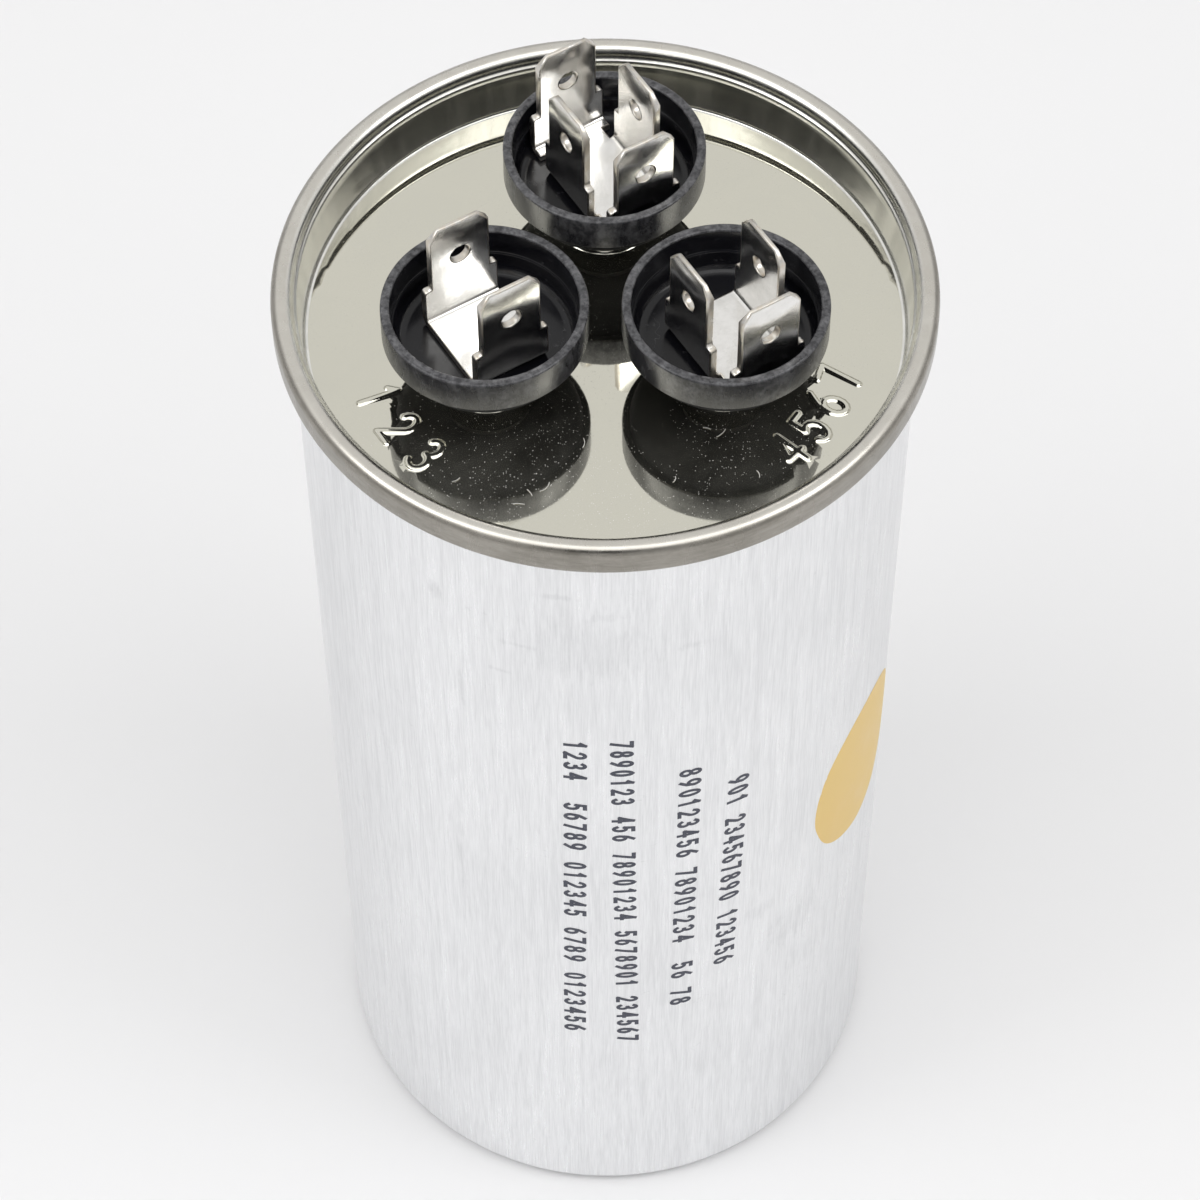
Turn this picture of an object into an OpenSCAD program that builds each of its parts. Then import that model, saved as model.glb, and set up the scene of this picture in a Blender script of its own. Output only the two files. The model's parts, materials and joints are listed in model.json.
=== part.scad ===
// Dual motor run capacitor: round drawn can, double-seamed lid, three terminals in insulating cups.
// Origin at the centre of the can's base, Z up. The common terminal is at the back (+Y).

/* [Can] */
// Outside diameter of the drawn can
can_d = 60; // [54:0.5:66]
// Wall and floor thickness of the can
can_wall = 0.4; // [0.3:0.05:0.6]
// Outside radius of the can's bottom edge
can_corner = 2; // [1.2:0.1:3]
// Height from the base to the top of the seam
seam_top = 127; // [110:0.5:140]

/* [Lid] */
// Sheet thickness of the lid
lid_gauge = 0.3; // [0.25:0.05:0.4]
// Depth of the lid's panel below the top of the seam
panel_recess = 6; // [5:0.25:8]
// Radius where the panel turns up into the wall of the lid
panel_fillet = 0.8; // [0.5:0.1:1.2]
// Height of the rolled seam
seam_h = 3.5; // [3:0.1:4.8]
// Play between the layers of the seam
seam_play = 0.1; // [0.06:0.01:0.14]
// How far the lid's end hook stops below the roll's bend
hook_gap = 0.4; // [0.2:0.05:0.6]
// Fit of the lid's wall in the can
lid_fit = 0.05; // [0.02:0.01:0.1]
// How far the can's wall steps out on its way into the seam
seam_flare = 0.5; // [0.4:0.05:0.7]
// Height over which the can's wall steps out
flare_h = 1.2; // [0.8:0.1:2]
// How far that step ends below the end hook's bend
flare_drop = 0.4; // [0.3:0.05:0.6]

/* [Terminal posts] */
// Distance from the can's axis to each terminal
pitch_r = 13; // [12.4:0.1:15]
// Height of each boss pressed up in the lid
boss_h = 3.2; // [2.6:0.1:4]
// Outside radius of a boss
boss_r = 4.4; // [4:0.1:5]
// Radius of the flare at the foot of a boss
boss_flare = 0.8; // [0.5:0.1:1.2]
// Radius of the round edge at the top of a boss
boss_edge = 0.5; // [0.4:0.05:0.8]
// Radius of the rivet's shank
shank_r = 1.5; // [1.2:0.1:1.8]
// Wall of the cup's stem round the rivet
stem_wall = 0.75; // [0.5:0.05:0.9]
// Running fit of parts that pass through each other
pass_fit = 0.08; // [0.05:0.01:0.15]
// Thickness of the sealing gasket
gasket_t = 0.6; // [0.4:0.1:1]
// Radius of the gasket
gasket_r = 4.1; // [3.6:0.1:4.2]
// Radius of the rivet's flat head in the cup
head_r = 3.1; // [2.6:0.1:3.4]
// Thickness of the rivet's head
head_t = 0.8; // [0.6:0.1:1]
// Radius of the rivet's upset tail
tail_r = 2.6; // [2.2:0.1:2.8]
// Thickness of the rivet's upset tail
tail_t = 0.8; // [0.6:0.1:1]
// Thickness of the insulating washer under the lid
washer_t = 1.3; // [1:0.1:1.6]

/* [Cups] */
// Outside diameter of a cup
cup_d = 19.5; // [19.3:0.1:20.6]
// Wall of the cup at the rim
cup_wall = 0.9; // [0.7:0.05:1]
// Depth from the rim to the cup's floor
cup_depth = 5.2; // [4.6:0.1:6.5]
// Height of the outer band below the rim
cup_band = 3.7; // [3:0.1:4.2]
// How far the bowl under the band steps in
cup_step = 0.7; // [0.3:0.05:0.8]
// Thickness of the cup's floor
cup_floor = 1.6; // [1.4:0.1:2]
// Radius between the floor and the wall inside
cup_fillet = 1.1; // [0.8:0.1:1.4]
// Radius of the bowl's round lower edge
bowl_round = 3; // [1.5:0.1:3.2]
// Least height of straight bowl between its round edge and the band
bowl_land = 0.1; // [0.05:0.01:0.3]
// Depth below the rim of the ledge round the inside
ledge_depth = 2.9; // [2:0.1:3.3]
// Width of that ledge
ledge_w = 0.25; // [0.1:0.01:0.35]
// Rounding of the rim's two edges
rim_round = 0.25; // [0.15:0.01:0.3]

/* [Blades] */
// Width of a quick-connect blade
blade_w = 6.35; // [6.2:0.05:6.5]
// Thickness of the terminal sheet
blade_t = 0.8; // [0.7:0.05:0.9]
// Height of the blades' tips above the cup's floor
blade_top = 12.5; // [11.5:0.1:14]
// Length of the blade above its shoulders
blade_len = 7.7; // [7:0.1:8.4]
// Width across the shoulders
shoulder_w = 7.9; // [7.5:0.1:8.2]
// Corner radius of the shoulders
shoulder_r = 0.4; // [0.2:0.05:0.5]
// Diameter of the locating hole in a blade
blade_hole_d = 2; // [1.6:0.05:2.4]
// Distance from a blade's tip to its hole
hole_drop = 4.3; // [3.6:0.1:4.8]
// Width of the cut corners at a blade's tip
tip_cut_w = 1; // [0.6:0.1:1.4]
// Height of the cut corners at a blade's tip
tip_cut_h = 1.2; // [0.8:0.1:1.6]
// Bevel of the tip's two faces
tip_bevel = 0.22; // [0.1:0.02:0.3]
// Inside radius of the folds
fold_r = 0.4; // [0.3:0.05:0.6]
// Inside distance between the front and rear blades of the wide brackets
long_gap = 13.2; // [12.6:0.1:13.4]
// Inside distance between the side blades of the wide brackets
side_gap = 7; // [6.8:0.1:8]
// Inside distance between the two blades of the narrow bracket
short_gap = 8.4; // [8:0.1:11]
// Width of the neck between the side folds and an end fold
neck_w = 6.2; // [4.5:0.1:6.2]
// Length of full-width sheet before an end fold
wide_run = 0.8; // [0.4:0.1:1.2]
// Turn of the brackets about their posts
blade_turn = 31.6; // [20:0.2:45]

/* [Inside] */
// Thickness of the insulating pad under the roll
pad_t = 1.6; // [1.2:0.1:2.4]
// Thickness of the insulating sleeve round the roll
liner_t = 0.8; // [0.5:0.1:1.2]
// Clearance of the sleeve in the can, and of the roll in the sleeve
liner_fit = 0.2; // [0.1:0.05:0.3]
// Thickness of the safety disc under the lid
disc_t = 2; // [1.5:0.1:3]
// Clearance of the disc's edge in the can
disc_fit = 0.3; // [0.2:0.05:0.5]
// Room between the roll and the disc, for the leads
head_room = 5.3; // [4:0.1:8]
// Inside radius of the winding's core tube
core_r = 3.5; // [3:0.1:4]
// Wall of the core tube
core_wall = 1.5; // [1:0.1:2]
// Outside radius of the fan section of the winding
fan_r = 11.1; // [10:0.1:11.3]
// Thickness of the barrier between the two sections
barrier_t = 0.5; // [0.3:0.1:0.8]
// Thickness of the sprayed metal at each end of the roll
spray_t = 0.6; // [0.4:0.1:1]
// Margin of bare film round each sprayed end
spray_margin = 0.3; // [0.2:0.05:0.5]
// How far the core and the barrier stand out of the roll
core_proud = 1; // [0.8:0.1:2]
// Width of a lead ribbon
lead_w = 3; // [2:0.1:3.2]
// Thickness of a lead ribbon
lead_t = 0.3; // [0.2:0.05:0.4]
// Length of a short lead's foot on the sprayed end
foot_len = 1.5; // [1:0.1:2]
// Reach of the common lead's foot past the core tube
long_foot = 3; // [2:0.1:5]
// Thickness of a contact tab
tab_t = 0.5; // [0.4:0.05:0.6]
// Radius of a contact tab's ring
tab_r = 3.3; // [3.2:0.05:3.4]
// Width of a contact tab's leg
tab_w = 2.8; // [2:0.1:3]
// Clearance between a tab's leg and the boss round it
leg_fit = 0.25; // [0.1:0.05:0.3]
// How far a tab's leg reaches below the disc
tab_drop = 1.6; // [1.2:0.1:2.4]
// Clearance of the disc's holes round the tabs' legs
disc_hole_fit = 0.8; // [0.5:0.1:1.2]
// How far the leads stop below the disc
lead_gap = 0.3; // [0.2:0.05:0.5]

/* [Hidden] */
$fn = 96;
// Overrun of a cutting solid past the faces that it cuts
overrun = 1;
// Directions of the three posts about the can's axis
common_at = 90;
fan_at = 210;
herm_at = 330;
// Radii of the can and the lid
can_r = can_d / 2;
can_in = can_r - can_wall;
lid_out = can_in - lid_fit;
lid_in = lid_out - lid_gauge;
// Layers of the seam from the inside: lid wall, can, end hook, body hook, outer wall
seam_w = 3 * lid_gauge + 2 * can_wall + 4 * seam_play;
body_in = can_in + seam_flare;
chuck_in = body_in - seam_play - lid_gauge;
end_in = body_in + can_wall + seam_play;
hook_in = end_in + lid_gauge + seam_play;
skirt_in = hook_in + can_wall + seam_play;
rim_r = skirt_in + lid_gauge;
top_bend = seam_w / 2;
bend_z = seam_top - top_bend;
bend_r = chuck_in + top_bend;
end_bend = (rim_r - end_in) / 2;
end_z = seam_top - seam_h + end_bend;
flare_top = end_z - flare_drop;
flare_foot = flare_top - flare_h;
panel_z = seam_top - panel_recess;
under_z = panel_z - lid_gauge;
// Heights along a post
boss_z = panel_z + boss_h;
cup_base_z = boss_z + gasket_t;
floor_z = cup_base_z + cup_floor;
cup_rim_z = floor_z + cup_depth;
band_z = cup_rim_z - cup_band;
stem_r = shank_r + pass_fit + stem_wall;
stem_hole = stem_r + pass_fit;
washer_z = boss_z - lid_gauge - washer_t;
tab_z = washer_z - tab_t;
tail_z = tab_z - tail_t;
boss_in = boss_r - lid_gauge;
washer_r = boss_r - boss_edge;
// Cup radii
cup_r = cup_d / 2;
cup_in = cup_r - cup_wall;
bowl_in = cup_in - ledge_w;
bowl_r = cup_r - cup_step;
bowl_edge = min(bowl_round, band_z - cup_base_z - bowl_land);
// Stack of the roll
pad_z = can_wall + pad_t;
disc_z = under_z - disc_t;
roll_top = disc_z - head_room;
wind_top = roll_top - spray_t;
wind_base = pad_z + spray_t;
liner_out = can_in - liner_fit;
liner_in = liner_out - liner_t;
roll_r = liner_in - liner_fit;
core_out = core_r + core_wall;
herm_in = fan_r + barrier_t;
tab_low = disc_z - tab_drop;
// Each tab's leg fits inside its boss with its corners
leg_out = sqrt(pow(boss_in - leg_fit, 2) - pow(tab_w / 2, 2));
leg_in = leg_out - tab_t;
tab_hole = leg_out + disc_hole_fit;
// Middles of the two sections of the winding
fan_mid = (core_out + fan_r) / 2;
herm_mid = (herm_in + roll_r) / 2;

module at_post(angle)
    rotate([0, 0, angle]) translate([pitch_r, 0, 0]) rotate([0, 0, -angle]) children();

// A quarter of a bent sheet's section, in the quarter plane that the signs name
module bend_quarter(r_in, r_out, sx, sy)
    intersection() {
        difference() {
            circle(r = r_out);
            circle(r = r_in);
        }
        translate([sx < 0 ? -r_out : 0, sy < 0 ? -r_out : 0]) square(r_out);
    }

module ring(r_in, r_out, z0, z1)
    translate([0, 0, z0]) difference() {
        cylinder(r = r_out, h = z1 - z0);
        translate([0, 0, -overrun]) cylinder(r = r_in, h = z1 - z0 + 2 * overrun);
    }

module can()
    color("gainsboro") rotate_extrude() {
        square([can_r - can_corner, can_wall]);
        translate([can_r - can_corner, can_corner])
            bend_quarter(can_corner - can_wall, can_corner, 1, -1);
        translate([can_in, can_corner]) square([can_wall, flare_foot - can_corner]);
        // The wall steps out into the seam and turns over as the body hook
        polygon([[can_in, flare_foot], [can_r, flare_foot],
                 [body_in + can_wall, flare_top], [body_in, flare_top]]);
        translate([body_in, flare_top]) square([can_wall, bend_z - flare_top]);
        for (side = [-1, 1])
            translate([bend_r, bend_z])
                bend_quarter(top_bend - lid_gauge - seam_play - can_wall,
                             top_bend - lid_gauge - seam_play, side, 1);
        translate([hook_in, end_z]) square([can_wall, bend_z - end_z]);
    }

// Half section of one boss, with its flare, neck and flat top round the stem's hole
module boss_section() {
    flare_r = boss_r + boss_flare;
    translate([flare_r, panel_z + boss_flare])
        bend_quarter(boss_flare, boss_flare + lid_gauge, -1, -1);
    translate([boss_in, panel_z + boss_flare])
        square([lid_gauge, boss_h - boss_flare - boss_edge]);
    translate([boss_r - boss_edge, boss_z - boss_edge])
        bend_quarter(boss_edge - lid_gauge, boss_edge, 1, 1);
    translate([stem_hole, boss_z - lid_gauge])
        square([boss_r - boss_edge - stem_hole, lid_gauge]);
}

module lid_wall_section() {
    corner_r = panel_fillet + lid_gauge;
    fillet_top = panel_z + panel_fillet;
    lean_foot = max(fillet_top, flare_foot);
    translate([lid_out - corner_r, fillet_top]) bend_quarter(panel_fillet, corner_r, 1, -1);
    // The wall leans out with the can's step
    polygon([[lid_in, fillet_top], [lid_out, fillet_top], [lid_out, lean_foot],
             [chuck_in + lid_gauge, end_z], [chuck_in, end_z], [lid_in, lean_foot]]);
    translate([chuck_in, end_z]) square([lid_gauge, bend_z - end_z]);
    for (side = [-1, 1])
        translate([bend_r, bend_z]) bend_quarter(top_bend - lid_gauge, top_bend, side, 1);
    translate([skirt_in, end_z]) square([lid_gauge, bend_z - end_z]);
    for (side = [-1, 1])
        translate([end_in + end_bend, end_z])
            bend_quarter(end_bend - lid_gauge, end_bend, side, -1);
    translate([end_in, end_z]) square([lid_gauge, bend_z - end_z - hook_gap]);
}

module lid()
    color("silver") {
        difference() {
            translate([0, 0, under_z])
                cylinder(r = lid_out - panel_fillet - lid_gauge, h = lid_gauge);
            for (angle = [common_at, fan_at, herm_at])
                at_post(angle) translate([0, 0, under_z - overrun])
                    cylinder(r = boss_r + boss_flare, h = lid_gauge + 2 * overrun);
        }
        for (angle = [common_at, fan_at, herm_at])
            at_post(angle) rotate_extrude() boss_section();
        rotate_extrude() lid_wall_section();
    }

// Half section of a cup: stem, bowl, band, rim and the ledge inside
module cup_section() {
    bore_r = shank_r + pass_fit;
    head_seat = head_r + pass_fit;
    difference() {
        union() {
            translate([bore_r, washer_z]) square([stem_r - bore_r, cup_base_z - washer_z]);
            translate([bore_r, cup_base_z])
                square([bowl_r - bowl_edge - bore_r, band_z - cup_base_z]);
            translate([bowl_r - bowl_edge, cup_base_z + bowl_edge]) circle(r = bowl_edge);
            translate([bowl_r - bowl_edge, cup_base_z + bowl_edge])
                square([bowl_edge, band_z - cup_base_z - bowl_edge]);
            translate([bore_r, band_z]) square([cup_r - bore_r, cup_band - rim_round]);
            translate([cup_in + rim_round, cup_rim_z - 2 * rim_round])
                square([cup_wall - 2 * rim_round, 2 * rim_round]);
            for (x = [cup_in + rim_round, cup_r - rim_round])
                translate([x, cup_rim_z - rim_round]) circle(r = rim_round);
        }
        // Hollow above the floor, with its fillet, the ledge and the rivet head's seat
        translate([0, floor_z]) square([bowl_in - cup_fillet, cup_depth + overrun]);
        translate([bowl_in - cup_fillet, floor_z + cup_fillet]) circle(r = cup_fillet);
        translate([0, floor_z + cup_fillet]) square([bowl_in, cup_depth]);
        translate([0, cup_rim_z - ledge_depth]) square([cup_in, ledge_depth - rim_round]);
        translate([0, floor_z - head_t]) square([head_seat, head_t + overrun]);
        translate([0, washer_z - overrun]) square([bore_r, floor_z - washer_z + overrun]);
    }
}

module cup(angle)
    color("dimgray") at_post(angle) rotate_extrude() cup_section();

// Outline of one blade above its fold: shoulders, blade, cut tip and hole
module blade_outline() {
    rise = blade_top - blade_t - fold_r;
    shoulder = rise - blade_len;
    half = blade_w / 2;
    difference() {
        union() {
            translate([-shoulder_w / 2, 0]) square([shoulder_w, shoulder - shoulder_r]);
            translate([-shoulder_w / 2 + shoulder_r, 0])
                square([shoulder_w - 2 * shoulder_r, shoulder]);
            for (side = [-1, 1])
                translate([side * (shoulder_w / 2 - shoulder_r), shoulder - shoulder_r])
                    circle(r = shoulder_r);
            polygon([[-half, 0], [half, 0], [half, rise - tip_cut_h], [half - tip_cut_w, rise],
                     [tip_cut_w - half, rise], [-half, rise - tip_cut_h]]);
        }
        translate([0, rise - hole_drop]) circle(d = blade_hole_d);
    }
}

// A folded blade whose inside face stands at x = reach, facing the post, and its share of plate
module blade(reach, plate_half) {
    rise = blade_top - blade_t - fold_r;
    // Fold
    translate([reach - fold_r, 0, blade_t + fold_r]) rotate([90, 0, 0])
        translate([0, 0, -plate_half])
            linear_extrude(2 * plate_half) bend_quarter(fold_r, fold_r + blade_t, 1, -1);
    // Upright, with a bevelled tip
    translate([reach, 0, blade_t + fold_r]) intersection() {
        rotate([90, 0, 90]) linear_extrude(blade_t) blade_outline();
        rotate([90, 0, 0]) translate([0, 0, -shoulder_w])
            linear_extrude(2 * shoulder_w)
                polygon([[0, 0], [blade_t, 0], [blade_t, rise - 2 * tip_bevel],
                         [blade_t - tip_bevel, rise], [tip_bevel, rise],
                         [0, rise - 2 * tip_bevel]]);
    }
}

// Plate between two end folds, or from the plain edge to one fold
module end_arm(reach, start) {
    wide_from = reach - fold_r - wide_run;
    translate([start, -neck_w / 2, 0]) cube([reach - fold_r - start, neck_w, blade_t]);
    translate([wide_from, -shoulder_w / 2, 0])
        cube([wide_run, shoulder_w, blade_t]);
}

// Bracket seen from above with its front blade toward +X before it is turned
module wide_bracket(rear_blade) {
    half_long = long_gap / 2;
    half_side = side_gap / 2;
    square_half = shoulder_w / 2;
    translate([-square_half, -half_side + fold_r, 0])
        cube([2 * square_half, side_gap - 2 * fold_r, blade_t]);
    end_arm(half_long, 0);
    blade(half_long, shoulder_w / 2);
    if (rear_blade) rotate([0, 0, 180]) {
        end_arm(half_long, 0);
        blade(half_long, shoulder_w / 2);
    }
    for (turn = [90, -90]) rotate([0, 0, turn]) blade(half_side, shoulder_w / 2);
}

module narrow_bracket() {
    reach = short_gap / 2;
    translate([fold_r - reach, -shoulder_w / 2, 0])
        cube([short_gap - 2 * fold_r, shoulder_w, blade_t]);
    for (turn = [0, 180]) rotate([0, 0, turn]) blade(reach, shoulder_w / 2);
}

module on_floor(angle)
    at_post(angle) translate([0, 0, floor_z]) rotate([0, 0, blade_turn - 90]) children();

module terminal_common() color("lightgray") on_floor(common_at) wide_bracket(true);
module terminal_herm() color("lightgray") on_floor(herm_at) wide_bracket(false);
module terminal_fan() color("lightgray") on_floor(fan_at) narrow_bracket();

// Rivet: flat head in the cup's floor, shank through the stack, upset tail under the tab
module rivet(angle)
    color("darkgray") at_post(angle) rotate_extrude() {
        translate([0, floor_z - head_t]) square([head_r, head_t]);
        translate([0, tail_z]) square([shank_r, floor_z - tail_z]);
        translate([0, tail_z]) square([tail_r, tail_t]);
    }

module gasket(angle)
    color("black") at_post(angle) ring(stem_hole, gasket_r, boss_z, cup_base_z);

module washer(angle)
    color("sienna") at_post(angle) ring(stem_hole, washer_r, washer_z, washer_z + washer_t);

// Contact tab: ring clamped on the rivet, with a leg folded down through the disc
module tab(angle, turn)
    color("goldenrod") at_post(angle) rotate([0, 0, turn]) {
        ring(shank_r + pass_fit, tab_r, tab_z, tab_z + tab_t);
        translate([tail_r, -tab_w / 2, tab_z]) cube([leg_out - tail_r, tab_w, tab_t]);
        translate([leg_in, -tab_w / 2, tab_low]) cube([tab_t, tab_w, tab_z - tab_low + tab_t]);
    }

// Ribbon from a tab's leg across to reach, down to the sprayed end, and a foot on it
module short_lead(angle, turn, reach)
    color("gold") at_post(angle) rotate([0, 0, turn]) translate([0, -lead_w / 2, 0]) {
        translate([leg_out, 0, tab_low]) cube([lead_t, lead_w, disc_z - lead_gap - tab_low]);
        translate([leg_out, 0, tab_low]) cube([reach - leg_out, lead_w, lead_t]);
        translate([reach - lead_t, 0, roll_top])
            cube([lead_t, lead_w, tab_low - roll_top + lead_t]);
        translate([reach - lead_t, 0, roll_top]) cube([lead_t + foot_len, lead_w, lead_t]);
    }

// Ribbon of the common post: across to the axis, down the core, and out under the roll
module lead_common() {
    leg_y = pitch_r - leg_out;
    foot_z = pad_z - lead_t;
    color("gold") translate([-lead_w / 2, 0, 0]) {
        translate([0, leg_y - lead_t, tab_low])
            cube([lead_w, lead_t, disc_z - lead_gap - tab_low]);
        translate([0, 0, tab_low]) cube([lead_w, leg_y, lead_t]);
        translate([0, 0, foot_z]) cube([lead_w, lead_t, tab_low - foot_z + lead_t]);
        translate([0, 0, foot_z]) cube([lead_w, core_out + long_foot, lead_t]);
    }
}

module safety_disc()
    color("saddlebrown") difference() {
        translate([0, 0, disc_z]) cylinder(r = can_in - disc_fit, h = disc_t);
        for (angle = [common_at, fan_at, herm_at])
            at_post(angle) translate([0, 0, disc_z - overrun])
                cylinder(r = tab_hole, h = disc_t + 2 * overrun);
    }

module liner() color("wheat") ring(liner_in, liner_out, pad_z, disc_z);

// Pad with a round lower edge like the can's, and a groove for the common lead's foot
module bottom_pad()
    color("wheat") difference() {
        rotate_extrude() {
            edge_r = min(can_corner - can_wall, pad_t) - liner_fit;
            translate([0, can_wall]) square([liner_out - edge_r, pad_t]);
            translate([0, can_wall + edge_r]) square([liner_out, pad_t - edge_r]);
            intersection() {
                translate([liner_out - edge_r, can_wall + edge_r]) circle(r = edge_r);
                translate([0, can_wall]) square([liner_out, pad_t]);
            }
        }
        translate([-lead_w / 2 - pass_fit, -pass_fit, pad_z - lead_t])
            cube([lead_w + 2 * pass_fit, core_out + long_foot + 2 * pass_fit, lead_t + overrun]);
    }

module core_tube() color("ivory") ring(core_r, core_out, pad_z, roll_top + core_proud);
module fan_winding() color("whitesmoke") ring(core_out, fan_r, wind_base, wind_top);
module section_barrier() color("khaki") ring(fan_r, herm_in, wind_base, roll_top + core_proud);
module herm_winding() color("whitesmoke") ring(herm_in, roll_r, wind_base, wind_top);

module spray_common()
    color("slategray") ring(core_out, roll_r - spray_margin, pad_z, wind_base);
module spray_fan() color("slategray") ring(core_out, fan_r - spray_margin, wind_top, roll_top);
module spray_herm()
    color("slategray") ring(herm_in + spray_margin, roll_r - spray_margin, wind_top, roll_top);

can();
lid();
cup(common_at);  // cup_common
cup(herm_at);  // cup_herm
cup(fan_at);  // cup_fan
terminal_common();
terminal_herm();
terminal_fan();
rivet(common_at);  // rivet_common
rivet(herm_at);  // rivet_herm
rivet(fan_at);  // rivet_fan
gasket(common_at);  // gasket_common
gasket(herm_at);  // gasket_herm
gasket(fan_at);  // gasket_fan
washer(common_at);  // washer_common
washer(herm_at);  // washer_herm
washer(fan_at);  // washer_fan
tab(common_at, common_at + 180);  // tab_common
tab(herm_at, herm_at);  // tab_herm
tab(fan_at, fan_at + 180);  // tab_fan
lead_common();
short_lead(herm_at, herm_at, herm_mid - pitch_r);  // lead_herm
short_lead(fan_at, fan_at + 180, pitch_r - fan_mid);  // lead_fan
safety_disc();
liner();
bottom_pad();
core_tube();
fan_winding();
section_barrier();
herm_winding();
spray_common();
spray_fan();
spray_herm();
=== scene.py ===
import json
import math

import bmesh
import bpy
from mathutils import Matrix, Vector, noise
from mathutils.geometry import delaunay_2d_cdt


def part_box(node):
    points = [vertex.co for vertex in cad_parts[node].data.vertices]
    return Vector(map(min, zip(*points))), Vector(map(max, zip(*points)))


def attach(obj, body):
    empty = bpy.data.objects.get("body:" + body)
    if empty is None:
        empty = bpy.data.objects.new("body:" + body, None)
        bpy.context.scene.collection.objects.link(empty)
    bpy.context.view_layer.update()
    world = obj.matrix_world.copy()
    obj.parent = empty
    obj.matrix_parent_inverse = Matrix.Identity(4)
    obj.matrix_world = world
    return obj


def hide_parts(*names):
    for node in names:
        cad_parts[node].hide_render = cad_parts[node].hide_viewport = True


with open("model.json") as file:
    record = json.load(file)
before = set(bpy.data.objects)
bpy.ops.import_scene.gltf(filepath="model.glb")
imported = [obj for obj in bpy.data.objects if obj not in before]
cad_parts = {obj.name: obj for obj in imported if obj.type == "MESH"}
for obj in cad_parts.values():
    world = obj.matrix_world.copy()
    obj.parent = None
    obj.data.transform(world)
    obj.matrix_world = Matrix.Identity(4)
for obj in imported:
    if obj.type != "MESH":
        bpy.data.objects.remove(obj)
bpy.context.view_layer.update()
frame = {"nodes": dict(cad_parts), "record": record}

# Motor run capacitor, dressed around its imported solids. Lengths are in metres.
mm = 0.001


def addMesh(name, work, materials, smooth=True):
    bmesh.ops.recalc_face_normals(work, faces=work.faces)
    mesh = bpy.data.meshes.new(name)
    work.to_mesh(mesh)
    work.free()
    for material in materials:
        mesh.materials.append(material)
    if smooth:
        mesh.shade_smooth()
    piece = bpy.data.objects.new(name, mesh)
    bpy.context.scene.collection.objects.link(piece)
    return piece


def arc(cx, cy, radius, fromDeg, toDeg, steps):
    # points on a circle's arc, both ends included
    angles = [math.radians(fromDeg + (toDeg - fromDeg) * i / steps) for i in range(steps + 1)]
    return [(cx + radius * math.cos(a), cy + radius * math.sin(a)) for a in angles]


def smoothStep(low, high, value):
    t = min(max((value - low) / (high - low), 0.0), 1.0)
    return t * t * (3 - 2 * t)


def revolve(work, section, centre, sides, closed=True, finishes=None):
    # turns (radius, height) points about the upright axis through centre; each point may name
    # the finish of the faces that lead to it
    rings = []
    for radius, height in section:
        if radius < 1e-9:
            rings.append([work.verts.new((centre[0], centre[1], height))] * sides)
            continue
        ring = []
        for i in range(sides):
            a = 2 * math.pi * i / sides
            ring.append(work.verts.new((centre[0] + radius * math.cos(a),
                                        centre[1] + radius * math.sin(a), height)))
        rings.append(ring)
    pairs = list(zip(rings, rings[1:]))
    if closed:
        pairs.append((rings[-1], rings[0]))
    for index, (below, above) in enumerate(pairs):
        finish = finishes[(index + 1) % len(rings)] if finishes else 0
        for i in range(sides):
            j = (i + 1) % sides
            corners = []
            for vert in (below[i], below[j], above[j], above[i]):
                if vert not in corners:
                    corners.append(vert)
            if len(corners) > 2:
                work.faces.new(corners).material_index = finish


def newMaterial(name):
    material = bpy.data.materials.new(name)
    material.use_nodes = True
    tree = material.node_tree
    return material, tree, tree.nodes["Principled BSDF"]


def setInputs(tree, node, inputs):
    # plain values are set, and outputs of other nodes are linked
    for key, value in inputs.items():
        if isinstance(value, bpy.types.NodeSocket):
            tree.links.new(value, node.inputs[key])
        else:
            node.inputs[key].default_value = value


def addNode(tree, kind, inputs=None, **settings):
    made = tree.nodes.new(kind)
    for key, value in settings.items():
        setattr(made, key, value)
    setInputs(tree, made, inputs or {})
    return made


def ownPlace(tree):
    # places on the piece, in metres
    return addNode(tree, "ShaderNodeTexCoord").outputs["Object"]


def placeAlong(tree, axis):
    return addNode(tree, "ShaderNodeSeparateXYZ", {"Vector": ownPlace(tree)}).outputs[axis]


def placeOn(tree, scale):
    # the piece's own coordinates, stretched by one number or by one for each axis
    if isinstance(scale, (int, float)):
        scale = (scale, scale, scale)
    return addNode(tree, "ShaderNodeMapping", {"Vector": ownPlace(tree), "Scale": scale}).outputs[0]


def noiseAt(tree, scale, detail=3, rough=0.55, distortion=0.0):
    inputs = {"Vector": placeOn(tree, scale), "Scale": 1.0, "Detail": detail, "Roughness": rough,
              "Distortion": distortion}
    return addNode(tree, "ShaderNodeTexNoise", inputs).outputs["Fac"]


def remap(tree, value, low, high, toLow=0.0, toHigh=1.0, smooth=False):
    # carries low to toLow and high to toHigh, and stays there beyond them
    inputs = {"Value": value, "From Min": low, "From Max": high, "To Min": toLow, "To Max": toHigh}
    shape = "SMOOTHSTEP" if smooth else "LINEAR"
    return addNode(tree, "ShaderNodeMapRange", inputs, interpolation_type=shape).outputs[0]


def blendColour(tree, factor, first, second):
    inputs = {0: factor}
    for key, colour in ((6, first), (7, second)):
        inputs[key] = colour if isinstance(colour, bpy.types.NodeSocket) else (*colour, 1)
    return addNode(tree, "ShaderNodeMix", inputs, data_type="RGBA").outputs[2]


def maths(tree, operation, *values):
    return addNode(tree, "ShaderNodeMath", dict(enumerate(values)), operation=operation).outputs[0]


def multiply(tree, first, *others):
    for other in others:
        first = maths(tree, "MULTIPLY", first, other)
    return first


def addShares(tree, *parts):
    # adds up values, each times its share
    total = 0.0
    for value, share in parts:
        total = maths(tree, "MULTIPLY_ADD", value, share, total)
    return total


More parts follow.
